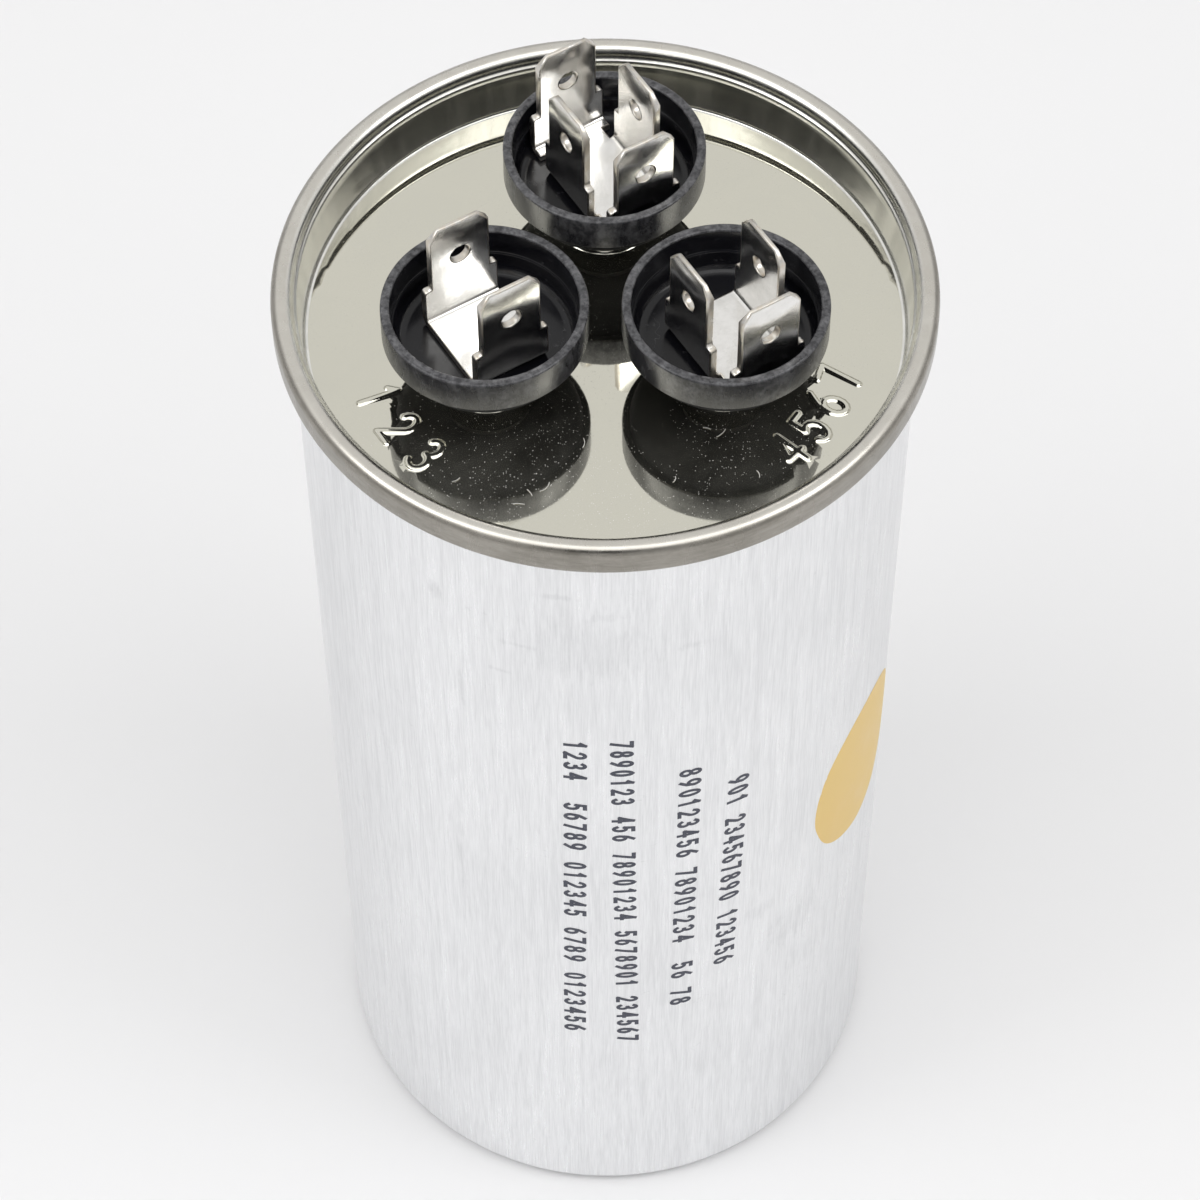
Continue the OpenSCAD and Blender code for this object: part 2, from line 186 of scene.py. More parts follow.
def vectorMaths(tree, operation, *values):
    return addNode(tree, "ShaderNodeVectorMath", dict(enumerate(values)), operation=operation)


def distanceTo(tree, point, radii):
    # how far a place on the piece lies from a point, in those radii
    moved = vectorMaths(tree, "SUBTRACT", ownPlace(tree), point).outputs[0]
    scaled = vectorMaths(tree, "DIVIDE", moved, radii).outputs[0]
    return vectorMaths(tree, "LENGTH", scaled).outputs["Value"]


def radiusOf(tree):
    # distance from the can's axis
    flat = vectorMaths(tree, "MULTIPLY", ownPlace(tree), (1, 1, 0)).outputs[0]
    return vectorMaths(tree, "LENGTH", flat).outputs["Value"]


def addBump(tree, shader, height, strength, distance):
    bump = addNode(tree, "ShaderNodeBump", {"Height": height, "Strength": strength, "Distance": distance})
    tree.links.new(bump.outputs[0], shader.inputs["Normal"])


def hairlines(tree, scale, width, start):
    # thin wandering lines, kept only where a broad noise is above start
    wander = maths(tree, "ABSOLUTE", maths(tree, "SUBTRACT", noiseAt(tree, scale, detail=2), 0.5))
    patches = noiseAt(tree, (170, 170, 130))
    kept = remap(tree, patches, start, start + 0.05)
    return multiply(tree, remap(tree, wander, 0.0, width, 1.0, 0.0), kept)


lidLow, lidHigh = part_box("lid")
mounts = {mount["name"]: mount for mount in frame["record"]["mounts"]}
canRadius = mounts["strap_band"]["dims"]["r_mm"] * mm
seamRadius = lidHigh.x
seamTop = lidHigh.z
lidSheet = 0.3 * mm
panelTop = lidLow.z + lidSheet
posts = {}
for post in ("common", "fan", "herm"):
    low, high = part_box("cup_" + post)
    posts[post] = Vector(((low.x + high.x) / 2, (low.y + high.y) / 2, 0))
cupLow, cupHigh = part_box("cup_common")
cupRadius = (cupHigh.x - cupLow.x) / 2
print("sizes from the frame: can radius", canRadius, "panel at", round(panelTop, 5))


# In every dictionary a scale is in noise waves per metre, a bump is its strength and height, and two
# colours or two roughnesses in one value are what the noise moves between.
canValues = {
    "sides": 256,
    "wallSteps": 48,
    "wall": 0.4 * mm,
    "corner": 2.0 * mm,
    "flareFoot": 4.5 * mm,      # below the seam's top
    "flareTop": 3.3 * mm,
    "hookTop": 2.3 * mm,
    "flareOut": 0.5 * mm,
    "ripple": 0.02 * mm,        # the drawn wall is never quite true
    "rippleScale": (60, 60, 22),
    "rippleEnd": 2 * mm,        # below the flare
    "colours": ((0.90, 0.905, 0.915), (0.66, 0.665, 0.675)),
    "roughness": (0.27, 0.42),
    "grainScale": (6500, 6500, 230),
    "grainShare": 0.5,
    "grainBump": (0.12, 0.04 * mm),
    "streakScale": (1500, 1500, 55),
    "streakShare": 0.28,
    "cloudScale": (50, 50, 32),
    "cloudShare": 0.22,
    "toneRange": (0.0, 0.55),   # of the dark colour, before scratches and smudges
    "scratches": ((260, 260, 700), 0.006, 0.60),     # scale, width and where they start
    "scratchShare": 0.4,
    "smudgeScale": (1300, 1300, 420),
    "smudgeRagged": 0.55,
    "smudges": [
        # angle in degrees, height, half width, half height, strength
        (312, 46, 5.0, 5.0, 0.22), (302, 53, 2.4, 2.0, 0.20), (315, 37, 4.0, 4.0, 0.14),
        (237, 112, 1.1, 1.6, 0.34), (261, 117, 2.2, 0.6, 0.26), (270, 114, 2.4, 0.9, 0.18),
        (254, 108, 2.6, 0.5, 0.20), (286, 108, 1.8, 0.8, 0.20), (266, 109, 9.0, 7.0, 0.16),
        (242, 98, 0.5, 5.0, 0.30), (240, 66, 0.6, 16.0, 0.16), (250, 103, 1.6, 0.4, 0.24),
        (30, 70, 6.0, 12.0, 0.14), (120, 40, 5.0, 9.0, 0.16), (180, 85, 7.0, 6.0, 0.12),
        (75, 100, 1.2, 8.0, 0.20)],
}


def canMaterial():
    v = canValues
    material, tree, shader = newMaterial("drawnAluminium")
    grain = noiseAt(tree, v["grainScale"], detail=4, rough=0.65)
    streaks = noiseAt(tree, v["streakScale"])
    clouds = noiseAt(tree, v["cloudScale"], detail=4)
    tone = addShares(tree, (grain, v["grainShare"]), (streaks, v["streakShare"]), (clouds, v["cloudShare"]))
    tone = remap(tree, tone, 0.40, 0.60, *v["toneRange"])
    tone = addShares(tree, (tone, 1), (hairlines(tree, *v["scratches"]), v["scratchShare"]))
    ragged = noiseAt(tree, v["smudgeScale"], detail=5, rough=0.7)
    ragged = remap(tree, ragged, 0.3, 0.7, -v["smudgeRagged"], v["smudgeRagged"])
    for angle, height, halfWidth, halfHeight, strength in v["smudges"]:
        a = math.radians(angle)
        spot = (canRadius * math.cos(a), canRadius * math.sin(a), height * mm)
        away = distanceTo(tree, spot, (halfWidth * mm, halfWidth * mm, halfHeight * mm))
        away = maths(tree, "ADD", away, ragged)
        tone = maths(tree, "ADD", tone, remap(tree, away, 0.15, 1.0, strength, 0.0, smooth=True))
    setInputs(tree, shader, {"Base Color": blendColour(tree, tone, *v["colours"]), "Metallic": 1.0,
                             "Roughness": remap(tree, tone, 0.0, 0.7, *v["roughness"])})
    addBump(tree, shader, grain, *v["grainBump"])
    return material


def buildCan():
    v = canValues
    inside = canRadius - v["wall"]
    flareOut = v["flareOut"]
    flareFoot, flareTop = seamTop - v["flareFoot"], seamTop - v["flareTop"]
    hookTop = seamTop - v["hookTop"]
    middle = canRadius - v["corner"]
    section = [(0, 0), (middle / 2, 0)]
    section += arc(middle, v["corner"], v["corner"], -90, 0, 10)
    for i in range(1, v["wallSteps"] + 1):
        section.append((canRadius, v["corner"] + (flareFoot - v["corner"]) * i / v["wallSteps"]))
    section += [(canRadius + flareOut, flareTop), (canRadius + flareOut, hookTop),
                (inside + flareOut, hookTop), (inside + flareOut, flareTop), (inside, flareFoot)]
    section += arc(middle, v["corner"], v["corner"] - v["wall"], 0, -90, 6)
    section += [(0, v["wall"])]
    work = bmesh.new()
    revolve(work, section, (0, 0), v["sides"], closed=False)
    for vert in work.verts:
        radius = math.hypot(vert.co.x, vert.co.y)
        if radius > middle and vert.co.z < flareFoot - v["rippleEnd"]:
            ripple = noise.noise(vert.co * Vector(v["rippleScale"]))
            stretch = 1 + ripple * v["ripple"] / radius
            vert.co.x *= stretch
            vert.co.y *= stretch
    piece = addMesh("canShell", work, [canMaterial()])
    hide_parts("can")
    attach(piece, "root")
    print("can built")


def bow(cx, cy, rx, ry, start, end, steps=10):
    # part of an ellipse, between two angles in degrees
    return [(cx + rx * x, cy + ry * y) for x, y in arc(0, 0, 1, start, end, steps)]


digitWidth = 0.6
# strokes of each numeral, in a box digitWidth wide and 1 high
digitStrokes = {
    0: [bow(0.3, 0.5, 0.28, 0.5, 0, 360, 16)],
    1: [[(0.1, 0.78), (0.32, 1.0), (0.32, 0.0)]],
    2: [bow(0.3, 0.72, 0.28, 0.28, 165, -35) + [(0.02, 0.0), (0.6, 0.0)]],
    3: [bow(0.28, 0.76, 0.25, 0.24, 150, -90), bow(0.28, 0.26, 0.3, 0.26, 90, -150)],
    4: [[(0.45, 0.0), (0.45, 1.0), (0.0, 0.32), (0.62, 0.32)]],
    5: [[(0.55, 1.0), (0.12, 1.0), (0.08, 0.56)] + bow(0.28, 0.32, 0.3, 0.32, 120, -150)],
    6: [bow(0.3, 0.3, 0.28, 0.3, 0, 360, 14), [(0.02, 0.32), (0.1, 0.68), (0.42, 1.0)]],
    7: [[(0.0, 1.0), (0.58, 1.0), (0.2, 0.0)]],
    8: [bow(0.3, 0.75, 0.24, 0.25, 0, 360, 14), bow(0.3, 0.26, 0.29, 0.26, 0, 360, 14)],
    9: [bow(0.3, 0.7, 0.28, 0.3, 0, 360, 14), [(0.58, 0.68), (0.5, 0.32), (0.18, 0.0)]],
}


lidValues = {
    "sides": 256,
    "postSides": 72,
    "panelFillet": 0.4 * mm,
    "wallTop": 0.75 * mm,        # how far the wall leans out from the panel to the roll
    "wallLean": 0.62 * mm,       # the part of that below the bead
    "beadFoot": 1.15 * mm,       # below the roll's middle
    "beadOut": 0.28 * mm,        # how far the bead stands in from the wall
    # share of beadOut, and height above the bead's foot
    "beadPoints": ((0.04, 0.14 * mm), (0.25, 0.28 * mm), (0.60, 0.42 * mm), (0.88, 0.55 * mm),
                   (1.0, 0.70 * mm), (0.90, 0.84 * mm), (0.55, 0.95 * mm), (0.10, 1.03 * mm)),
    "tiltSlope": 0.0064,         # the panel sits a little low on the common post's side
    "tiltToward": 120.0,         # degrees about the can
    "tiltFrom": -14 * mm,        # from the can's axis, where the slope begins
    "tiltSoftness": 3 * mm,      # how gently it begins
    "tiltHeights": (0.5 * mm, 3.2 * mm),     # above the panel, where the slope fades out
    "rollRadius": 1.05 * mm,
    "hookRadius": 0.6 * mm,
    "hookMiddle": 2.9 * mm,      # below the seam's top
    "slotWidth": 0.6 * mm,
    "slotTop": 2.2 * mm,         # below the seam's top
    "bossRadius": 4.4 * mm,
    "bossHeight": 3.2 * mm,
    "bossFlare": 0.8 * mm,
    "bossEdge": 0.5 * mm,
    "stemHole": 2.41 * mm,
    "waviness": 0.018 * mm,
    "waveScale": 95,
    "calmEdge": 3 * mm,          # where the waves die out toward the corner and the bosses
    "gridGap": 0.45 * mm,        # kept free of grid points along those edges
    "gridStep": 0.95 * mm,
    "fineStep": 0.12 * mm,
    "numeralHeight": 3.9 * mm,
    "numeralWidth": 1.75 * mm,
    "numeralRise": 0.20 * mm,
    "numeralFlat": 0.14 * mm,    # from the middle of a stroke to the edge of its flat top
    "numeralFoot": 0.44 * mm,    # from the middle of a stroke to its foot
    "numeralRadius": 23.3 * mm,
    # numeral, and its angle about the can in degrees
    "numerals": [(1, 202.7), (2, 213.2), (3, 223.5), (4, 317.6), (5, 325.9), (6, 334.2), (7, 342.5)],
    "panelColours": ((0.68, 0.665, 0.58), (0.63, 0.62, 0.55)),
    "panelRoughness": (0.02, 0.045),
    "panelSmearScale": 90,
    "panelGrainScale": 1500,
    "panelBump": (0.03, 0.02 * mm),
    "dustColour": (0.72, 0.71, 0.68),
    "dustRoughness": 0.6,        # added to the panel's
    # cells per metre, radius of a speck in its cell, and share of the cells that have one
    "dustSpecks": ((2900, 0.11, 0.20), (4900, 0.15, 0.24)),
    "dustPatchScale": 130,
    "dustHeights": (0.3 * mm, 0.5 * mm),     # above the panel, where it thins out
    "dustDepths": (-18 * mm, -8 * mm),       # along y, where it thins out
    "dustBehind": 0.35,                      # share that is left there
    "dustHaze": (0.02, 0.07),
    "wallColours": ((0.84, 0.835, 0.80), (0.72, 0.715, 0.68)),
    "wallRoughness": (0.19, 0.27),
    "wallStreakScale": (420, 420, 60),
    "rollColours": ((0.66, 0.64, 0.59), (0.50, 0.475, 0.43)),
    "rollRoughness": 0.05,       # added to the wall's
    "rollRadii": (29.9 * mm, 30.4 * mm),     # where the wall's look turns into the roll's
    "rollSideColours": ((0.37, 0.35, 0.315), (0.25, 0.235, 0.205)),
    "rollSideRadii": (31.1 * mm, 31.6 * mm),
    "rollSmearScale": (140, 140, 200),
    "rollRubScale": (500, 500, 2600),
    "rollRubBump": (0.10, 0.03 * mm),
    "rollSpeckScale": 2400,
    "fibreColours": ((0.80, 0.79, 0.76), (0.62, 0.61, 0.58)),
    "fibreFuzzScale": 3000,
    "fibreRoughness": 0.8,
    "fibreWidth": 0.06 * mm,
    "fibreLift": 0.05 * mm,
    "fibreSteps": 8,
    # fibres that lie on the panel: x and y in mm, direction in degrees, length in mm and bend in degrees
    "fibres": [(-6.2, -20.4, 20, 1.5, 70), (-6.9, -20.9, 110, 0.9, 30), (-7.6, -21.9, 165, 1.1, 25),
               (-14.4, -19.2, 10, 0.9, 50), (-2.2, -15.3, 60, 1.2, 60), (10.4, -14.1, 30, 1.3, 40),
               (9.9, -13.2, 150, 0.8, 30), (14.3, -18.9, 80, 0.9, 60), (6.2, -19.4, 35, 0.8, 80)],
}


def panelMaterial():
    # a bright sheet with dust in small pale specks, thicker in some places than in others
    v = lidValues
    material, tree, shader = newMaterial("tinplatePanel")
    smears = noiseAt(tree, v["panelSmearScale"], detail=5, rough=0.65, distortion=0.6)
    dust = 0.0
    for scale, radius, share in v["dustSpecks"]:
        cells = addNode(tree, "ShaderNodeTexVoronoi", {"Vector": placeOn(tree, scale), "Scale": 1.0})
        speck = remap(tree, cells.outputs["Distance"], radius, radius + 0.05, 1.0, 0.0)
        chance = addNode(tree, "ShaderNodeSeparateColor", {0: cells.outputs["Color"]}).outputs[0]
        speck = multiply(tree, speck, maths(tree, "LESS_THAN", chance, share))
        dust = maths(tree, "MAXIMUM", dust, speck)
    patches = remap(tree, noiseAt(tree, v["dustPatchScale"]), 0.38, 0.55, 0.15, 1.0)
    top, clear = (panelTop + height for height in v["dustHeights"])
    low = remap(tree, placeAlong(tree, "Z"), top, clear, 1.0, 0.0)
    # most of it lies out from the middle, toward the fan and herm posts
    front = remap(tree, placeAlong(tree, "Y"), *v["dustDepths"], 1.0, v["dustBehind"])
    haze = multiply(tree, front, low, remap(tree, smears, 0.4, 0.7, *v["dustHaze"]))
    dust = maths(tree, "MAXIMUM", multiply(tree, dust, patches, low, front), haze)
    sheet = blendColour(tree, remap(tree, smears, 0.4, 0.7, 0.0, 0.30), *v["panelColours"])
    shine = remap(tree, smears, 0.4, 0.7, *v["panelRoughness"])
    setInputs(tree, shader, {"Base Color": blendColour(tree, dust, sheet, v["dustColour"]),
                             "Metallic": maths(tree, "SUBTRACT", 1.0, dust),
                             "Roughness": addShares(tree, (shine, 1), (dust, v["dustRoughness"]))})
    addBump(tree, shader, noiseAt(tree, v["panelGrainScale"]), *v["panelBump"])
    return material


def seamMaterial():
    # the drawn wall and the rolled seam, satin from the rollers
    v = lidValues
    material, tree, shader = newMaterial("tinplateSeam")
    smears = noiseAt(tree, v["rollSmearScale"], detail=5, rough=0.7, distortion=0.4)
    rubbed = noiseAt(tree, v["rollRubScale"], detail=4, rough=0.65)
    specks = remap(tree, noiseAt(tree, v["rollSpeckScale"], detail=4, rough=0.7), 0.60, 0.72, 0.0, 0.6)
    mottle = remap(tree, addShares(tree, (smears, 0.6), (rubbed, 0.4)), 0.38, 0.64)
    mottle = maths(tree, "MAXIMUM", mottle, specks)
    streaks = noiseAt(tree, v["wallStreakScale"], detail=4, rough=0.6)
    onRoll = remap(tree, radiusOf(tree), *v["rollRadii"], smooth=True)
    onSide = remap(tree, radiusOf(tree), *v["rollSideRadii"], smooth=True)
    wall = blendColour(tree, remap(tree, streaks, 0.35, 0.65), *v["wallColours"])
    roll = blendColour(tree, multiply(tree, mottle, 0.5), *v["rollColours"])
    roll = blendColour(tree, onSide, roll, blendColour(tree, mottle, *v["rollSideColours"]))
    shine = remap(tree, streaks, 0.35, 0.65, *v["wallRoughness"])
    setInputs(tree, shader, {"Base Color": blendColour(tree, onRoll, wall, roll), "Metallic": 1.0,
                             "Roughness": addShares(tree, (shine, 1), (onRoll, v["rollRoughness"]))})
    addBump(tree, shader, rubbed, *v["rollRubBump"])
    return material


def numeralSegments():
    # every numeral's strokes, laid round the panel with their tops toward its middle
    v = lidValues
    segments = []
    for digit, angle in v["numerals"]:
        a = math.radians(angle)
        middle = Vector((math.cos(a), math.sin(a))) * v["numeralRadius"]
        along = Vector((-math.sin(a), math.cos(a)))
        up = Vector((-math.cos(a), -math.sin(a)))
        for stroke in digitStrokes[digit]:
            points = [middle + along * (x / digitWidth - 0.5) * v["numeralWidth"]
                      + up * (y - 0.5) * v["numeralHeight"] for x, y in stroke]
            segments += list(zip(points, points[1:]))
    return segments


def strokeDistance(point, segments):
    best = 1.0
    for start, end in segments:
        along = end - start
        t = (point - start).dot(along) / max(along.length_squared, 1e-12)
        best = min(best, (point - start - along * min(max(t, 0.0), 1.0)).length)
    return best


def panelHeight(point, segments, edge):
    # a slightly wavy sheet with the numerals pressed up in it
    v = lidValues
    clear = edge - point.length
    for post in posts.values():
        clear = min(clear, (point - post.xy).length - v["bossRadius"] - v["bossFlare"])
    calm = smoothStep(0.0, v["calmEdge"], clear)
    wave = noise.noise(Vector((point.x * v["waveScale"], point.y * v["waveScale"], 3.1)))
    rise = calm * v["waviness"] * wave
    if abs(point.length - v["numeralRadius"]) < v["numeralHeight"]:
        away = strokeDistance(point, segments)
        rise += v["numeralRise"] * (1 - smoothStep(v["numeralFlat"], v["numeralFoot"], away))
    return rise


def triangleGrid(step, reach):
    # rows of points with equal gaps, every second row moved by half a gap
    rowShare = 0.866             # of a gap, between two rows
    count = int(reach / step) + 1
    for i in range(-count, count + 1):
        for j in range(-count, count + 1):
            yield Vector(((i + 0.5 * (j % 2)) * step, j * step * rowShare))


def buildPanel(work, edge):
    # sheet between the lid's corner and the three bosses, finely divided round the numerals
    v = lidValues
    bossFoot = v["bossRadius"] + v["bossFlare"]
    points, edges = [], []

    def addLoop(centre, radius, count):
        first = len(points)
        for i in range(count):
            a = 2 * math.pi * i / count
            points.append(Vector((centre[0] + radius * math.cos(a), centre[1] + radius * math.sin(a))))
            edges.append((first + i, first + (i + 1) % count))

    def isClear(point):
        if point.length > edge - v["gridGap"]:
            return False
        return all((point - post.xy).length > bossFoot + v["gridGap"] for post in posts.values())

    addLoop((0, 0), edge, v["sides"])
    for post in posts.values():
        addLoop(post, bossFoot, v["postSides"])
    segments = numeralSegments()
    near = [Vector((math.cos(math.radians(a)), math.sin(math.radians(a)))) * v["numeralRadius"]
            for _, a in v["numerals"]]
    reach = v["numeralHeight"] * 0.55 + v["numeralFoot"]
    for point in triangleGrid(v["gridStep"], edge):
        if isClear(point) and all((point - n).length > reach for n in near):
            points.append(point)
    for point in triangleGrid(v["fineStep"], edge):
        if abs(point.length - v["numeralRadius"]) < reach and any((point - n).length < reach for n in near):
            if isClear(point) and strokeDistance(point, segments) < v["numeralFoot"] + 0.1 * mm:
                points.append(point)
    flat, _, faces, _, _, _ = delaunay_2d_cdt(points, edges, [], 1, 1e-7)
    rises = [panelHeight(point, segments, edge) for point in flat]
    for base, flip in ((panelTop, False), (panelTop - lidSheet, True)):
        verts = [work.verts.new((p.x, p.y, base + rise)) for p, rise in zip(flat, rises)]
        for face in faces:
            middle = sum((flat[i] for i in face), Vector((0, 0))) / 3
            if all((middle - post.xy).length > bossFoot * 0.999 for post in posts.values()):
                order = [verts[i] for i in face]
                work.faces.new(order[::-1] if flip else order)


def buildLid():
    v = lidValues
    fillet, sheet, roll, hook = v["panelFillet"], lidSheet, v["rollRadius"], v["hookRadius"]
    chuck = seamRadius - 2 * roll                  # inside radius of the seam
    wall = chuck - v["wallTop"]                    # inside radius at the panel's corner
    edge = wall - fillet
    rollMiddle, hookMiddle = seamTop - roll, seamTop - v["hookMiddle"]
    leanFoot = seamTop - canValues["flareFoot"]
    hookIn = seamRadius - 2 * hook
    section = arc(edge, panelTop + fillet, fillet, -90, 0, 10)
    wallFoot, wallEnd = panelTop + fillet, rollMiddle - v["beadFoot"]
    neck = wall + v["wallLean"]
    for t in (0.2, 0.4, 0.6, 0.8, 1.0):
        section.append((wall + (neck - wall) * t, wallFoot + (wallEnd - wallFoot) * t))
    section += [(neck - v["beadOut"] * share, wallEnd + height) for share, height in v["beadPoints"]]
    section += arc(chuck + roll, rollMiddle, roll, 174, 0, 24)
    section += [(seamRadius, (hookMiddle + rollMiddle) / 2)]
    section += arc(seamRadius - hook, hookMiddle, hook, 0, -180, 14)
    section += [(hookIn, seamTop - v["slotTop"]), (hookIn - v["slotWidth"], seamTop - v["slotTop"]),
                (chuck + sheet, hookMiddle), (wall + sheet, leanFoot)]
    section += arc(edge, panelTop + fillet, fillet + sheet, 0, -90, 8)
    work = bmesh.new()
    revolve(work, section, (0, 0), v["sides"], closed=False, finishes=[1] * len(section))
    boss, flare, bossEdge = v["bossRadius"], v["bossFlare"], v["bossEdge"]
    bossTop = panelTop + v["bossHeight"]
    section = arc(boss + flare, panelTop + flare, flare, -90, -180, 8)
    section += arc(boss - bossEdge, bossTop - bossEdge, bossEdge, 0, 90, 6)
    section += [(v["stemHole"], bossTop), (v["stemHole"], bossTop - sheet)]
    section += arc(boss - bossEdge, bossTop - bossEdge, bossEdge - sheet, 90, 0, 4)
    section += arc(boss + flare, panelTop + flare, flare + sheet, 180, 270, 8)
    for post in posts.values():
        revolve(work, section, post, v["postSides"], closed=False)
    buildPanel(work, edge)
    bmesh.ops.remove_doubles(work, verts=work.verts, dist=2e-7)
    tilt = math.radians(v["tiltToward"])
    for vert in work.verts:
        along = vert.co.x * math.cos(tilt) + vert.co.y * math.sin(tilt) - v["tiltFrom"]
        sink = v["tiltSlope"] * (along + math.hypot(along, v["tiltSoftness"])) / 2
        vert.co.z -= sink * (1 - smoothStep(*v["tiltHeights"], vert.co.z - panelTop))
    piece = addMesh("lidSheet", work, [panelMaterial(), seamMaterial()])
    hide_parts("lid")
    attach(piece, "root")
    print("lid built:", len(piece.data.polygons), "faces")


def buildFibres():
    # short bent fibres that lie on the panel with the dust
    v = lidValues
    material, tree, shader = newMaterial("dustFibre")
    fuzz = noiseAt(tree, v["fibreFuzzScale"], detail=2)
    setInputs(tree, shader, {"Base Color": blendColour(tree, fuzz, *v["fibreColours"]),
                             "Roughness": v["fibreRoughness"]})
    work = bmesh.new()
    steps = v["fibreSteps"]
    for x, y, direction, length, bend in v["fibres"]:
        place, heading = Vector((x * mm, y * mm, panelTop + v["fibreLift"])), math.radians(direction)
        last = None
        for step in range(steps + 1):
            along = Vector((math.cos(heading), math.sin(heading), 0))
            across = Vector((-along.y, along.x, 0)) * v["fibreWidth"] / 2
            pair = [work.verts.new(place + across), work.verts.new(place - across)]
            if last:
                work.faces.new((last[0], last[1], pair[1], pair[0]))
            last = pair
            place = place + along * length * mm / steps
            heading += math.radians(bend) / steps
    piece = addMesh("panelFibres", work, [material])
    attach(piece, "root")
    print("fibres laid:", len(v["fibres"]))


cupValues = {
    "sides": 144,
    "wall": 0.9 * mm,
    "band": 3.7 * mm,
    "step": 0.7 * mm,
    "depth": 5.2 * mm,
    "floor": 1.6 * mm,
    "fillet": 1.1 * mm,
    "bowlRound": 3.0 * mm,
    "ledgeDepth": 2.9 * mm,
    "ledgeWidth": 0.25 * mm,
    "ledgeBevel": 0.05 * mm,
    "rimRound": 0.25 * mm,
    "bandRound": 0.15 * mm,
    "boreRadius": 1.58 * mm,
    "stemRadius": 2.33 * mm,
    "headSeat": 3.18 * mm,
    "headDepth": 0.8 * mm,
    "splitAngle": 35,            # degrees between two faces, past which their edge is sharp
    "colour": (0.006, 0.006, 0.008),
    "scuffedColour": (0.24, 0.24, 0.25),
    "roughness": (0.12, 0.22),
    "scuffScale": 900,
    "scratches": ((420, 420, 900), 0.005, 0.58),     # scale, width and where they start
    "scratchShare": 0.3,
    "gloss": 0.38,
    "flowScale": (300, 300, 2200),
    "flowBump": (0.10, 0.03 * mm),
    "bandColour": (0.018, 0.018, 0.021),
    "bandRoughness": (0.20, 0.34),
    "bandScuffScale": (1400, 1400, 1000),
    "bandRubScale": (420, 420, 120),
    "bandBump": (0.22, 0.04 * mm),
    "rimHeights": (0.30 * mm, 0.10 * mm),            # below the top, where the rim's wear begins and is full
    "undersideColour": (0.022, 0.022, 0.024),
    "undersideRoughness": 0.7,
    "undersideGloss": 0.2,
    "undersideScale": 700,
    "undersideBump": (0.10, 0.04 * mm),
}


def cupMaterials():
    # glossy moulded inside, scuffed band and rim, dull underside
    v = cupValues
    inside, tree, shader = newMaterial("cupInside")
    scuffs = noiseAt(tree, v["scuffScale"], detail=4, rough=0.65)
    scratches = multiply(tree, hairlines(tree, *v["scratches"]), v["scratchShare"])
    faint = maths(tree, "MAXIMUM", remap(tree, scuffs, 0.62, 0.78, 0.0, 0.22), scratches)
    setInputs(tree, shader, {"Base Color": blendColour(tree, faint, v["colour"], v["scuffedColour"]),
                             "Roughness": remap(tree, scuffs, 0.3, 0.7, *v["roughness"]),
                             "Specular IOR Level": v["gloss"]})
    addBump(tree, shader, noiseAt(tree, v["flowScale"], detail=2), *v["flowBump"])

    band, tree, shader = newMaterial("cupBand")
    scuffs = noiseAt(tree, v["bandScuffScale"], detail=5, rough=0.72)
    rubbed = noiseAt(tree, v["bandRubScale"], detail=4, rough=0.6)
    worn = multiply(tree, remap(tree, scuffs, 0.42, 0.64), remap(tree, rubbed, 0.42, 0.64, 0.03, 0.42))
    rimLow, rimFull = (cupHigh.z - depth for depth in v["rimHeights"])
    rim = multiply(tree, remap(tree, placeAlong(tree, "Z"), rimLow, rimFull),
                   remap(tree, scuffs, 0.40, 0.70, 0.02, 0.55))
    worn = maths(tree, "MAXIMUM", worn, rim)
    setInputs(tree, shader, {"Base Color": blendColour(tree, worn, v["bandColour"], v["scuffedColour"]),
                             "Roughness": remap(tree, rubbed, 0.3, 0.7, *v["bandRoughness"])})
    addBump(tree, shader, scuffs, *v["bandBump"])

    under, tree, shader = newMaterial("cupUnderside")
    mottle = noiseAt(tree, v["undersideScale"])
    setInputs(tree, shader, {"Base Color": blendColour(tree, mottle, v["colour"], v["undersideColour"]),
                             "Roughness": v["undersideRoughness"],
                             "Specular IOR Level": v["undersideGloss"]})
    addBump(tree, shader, mottle, *v["undersideBump"])
    return [inside, band, under]


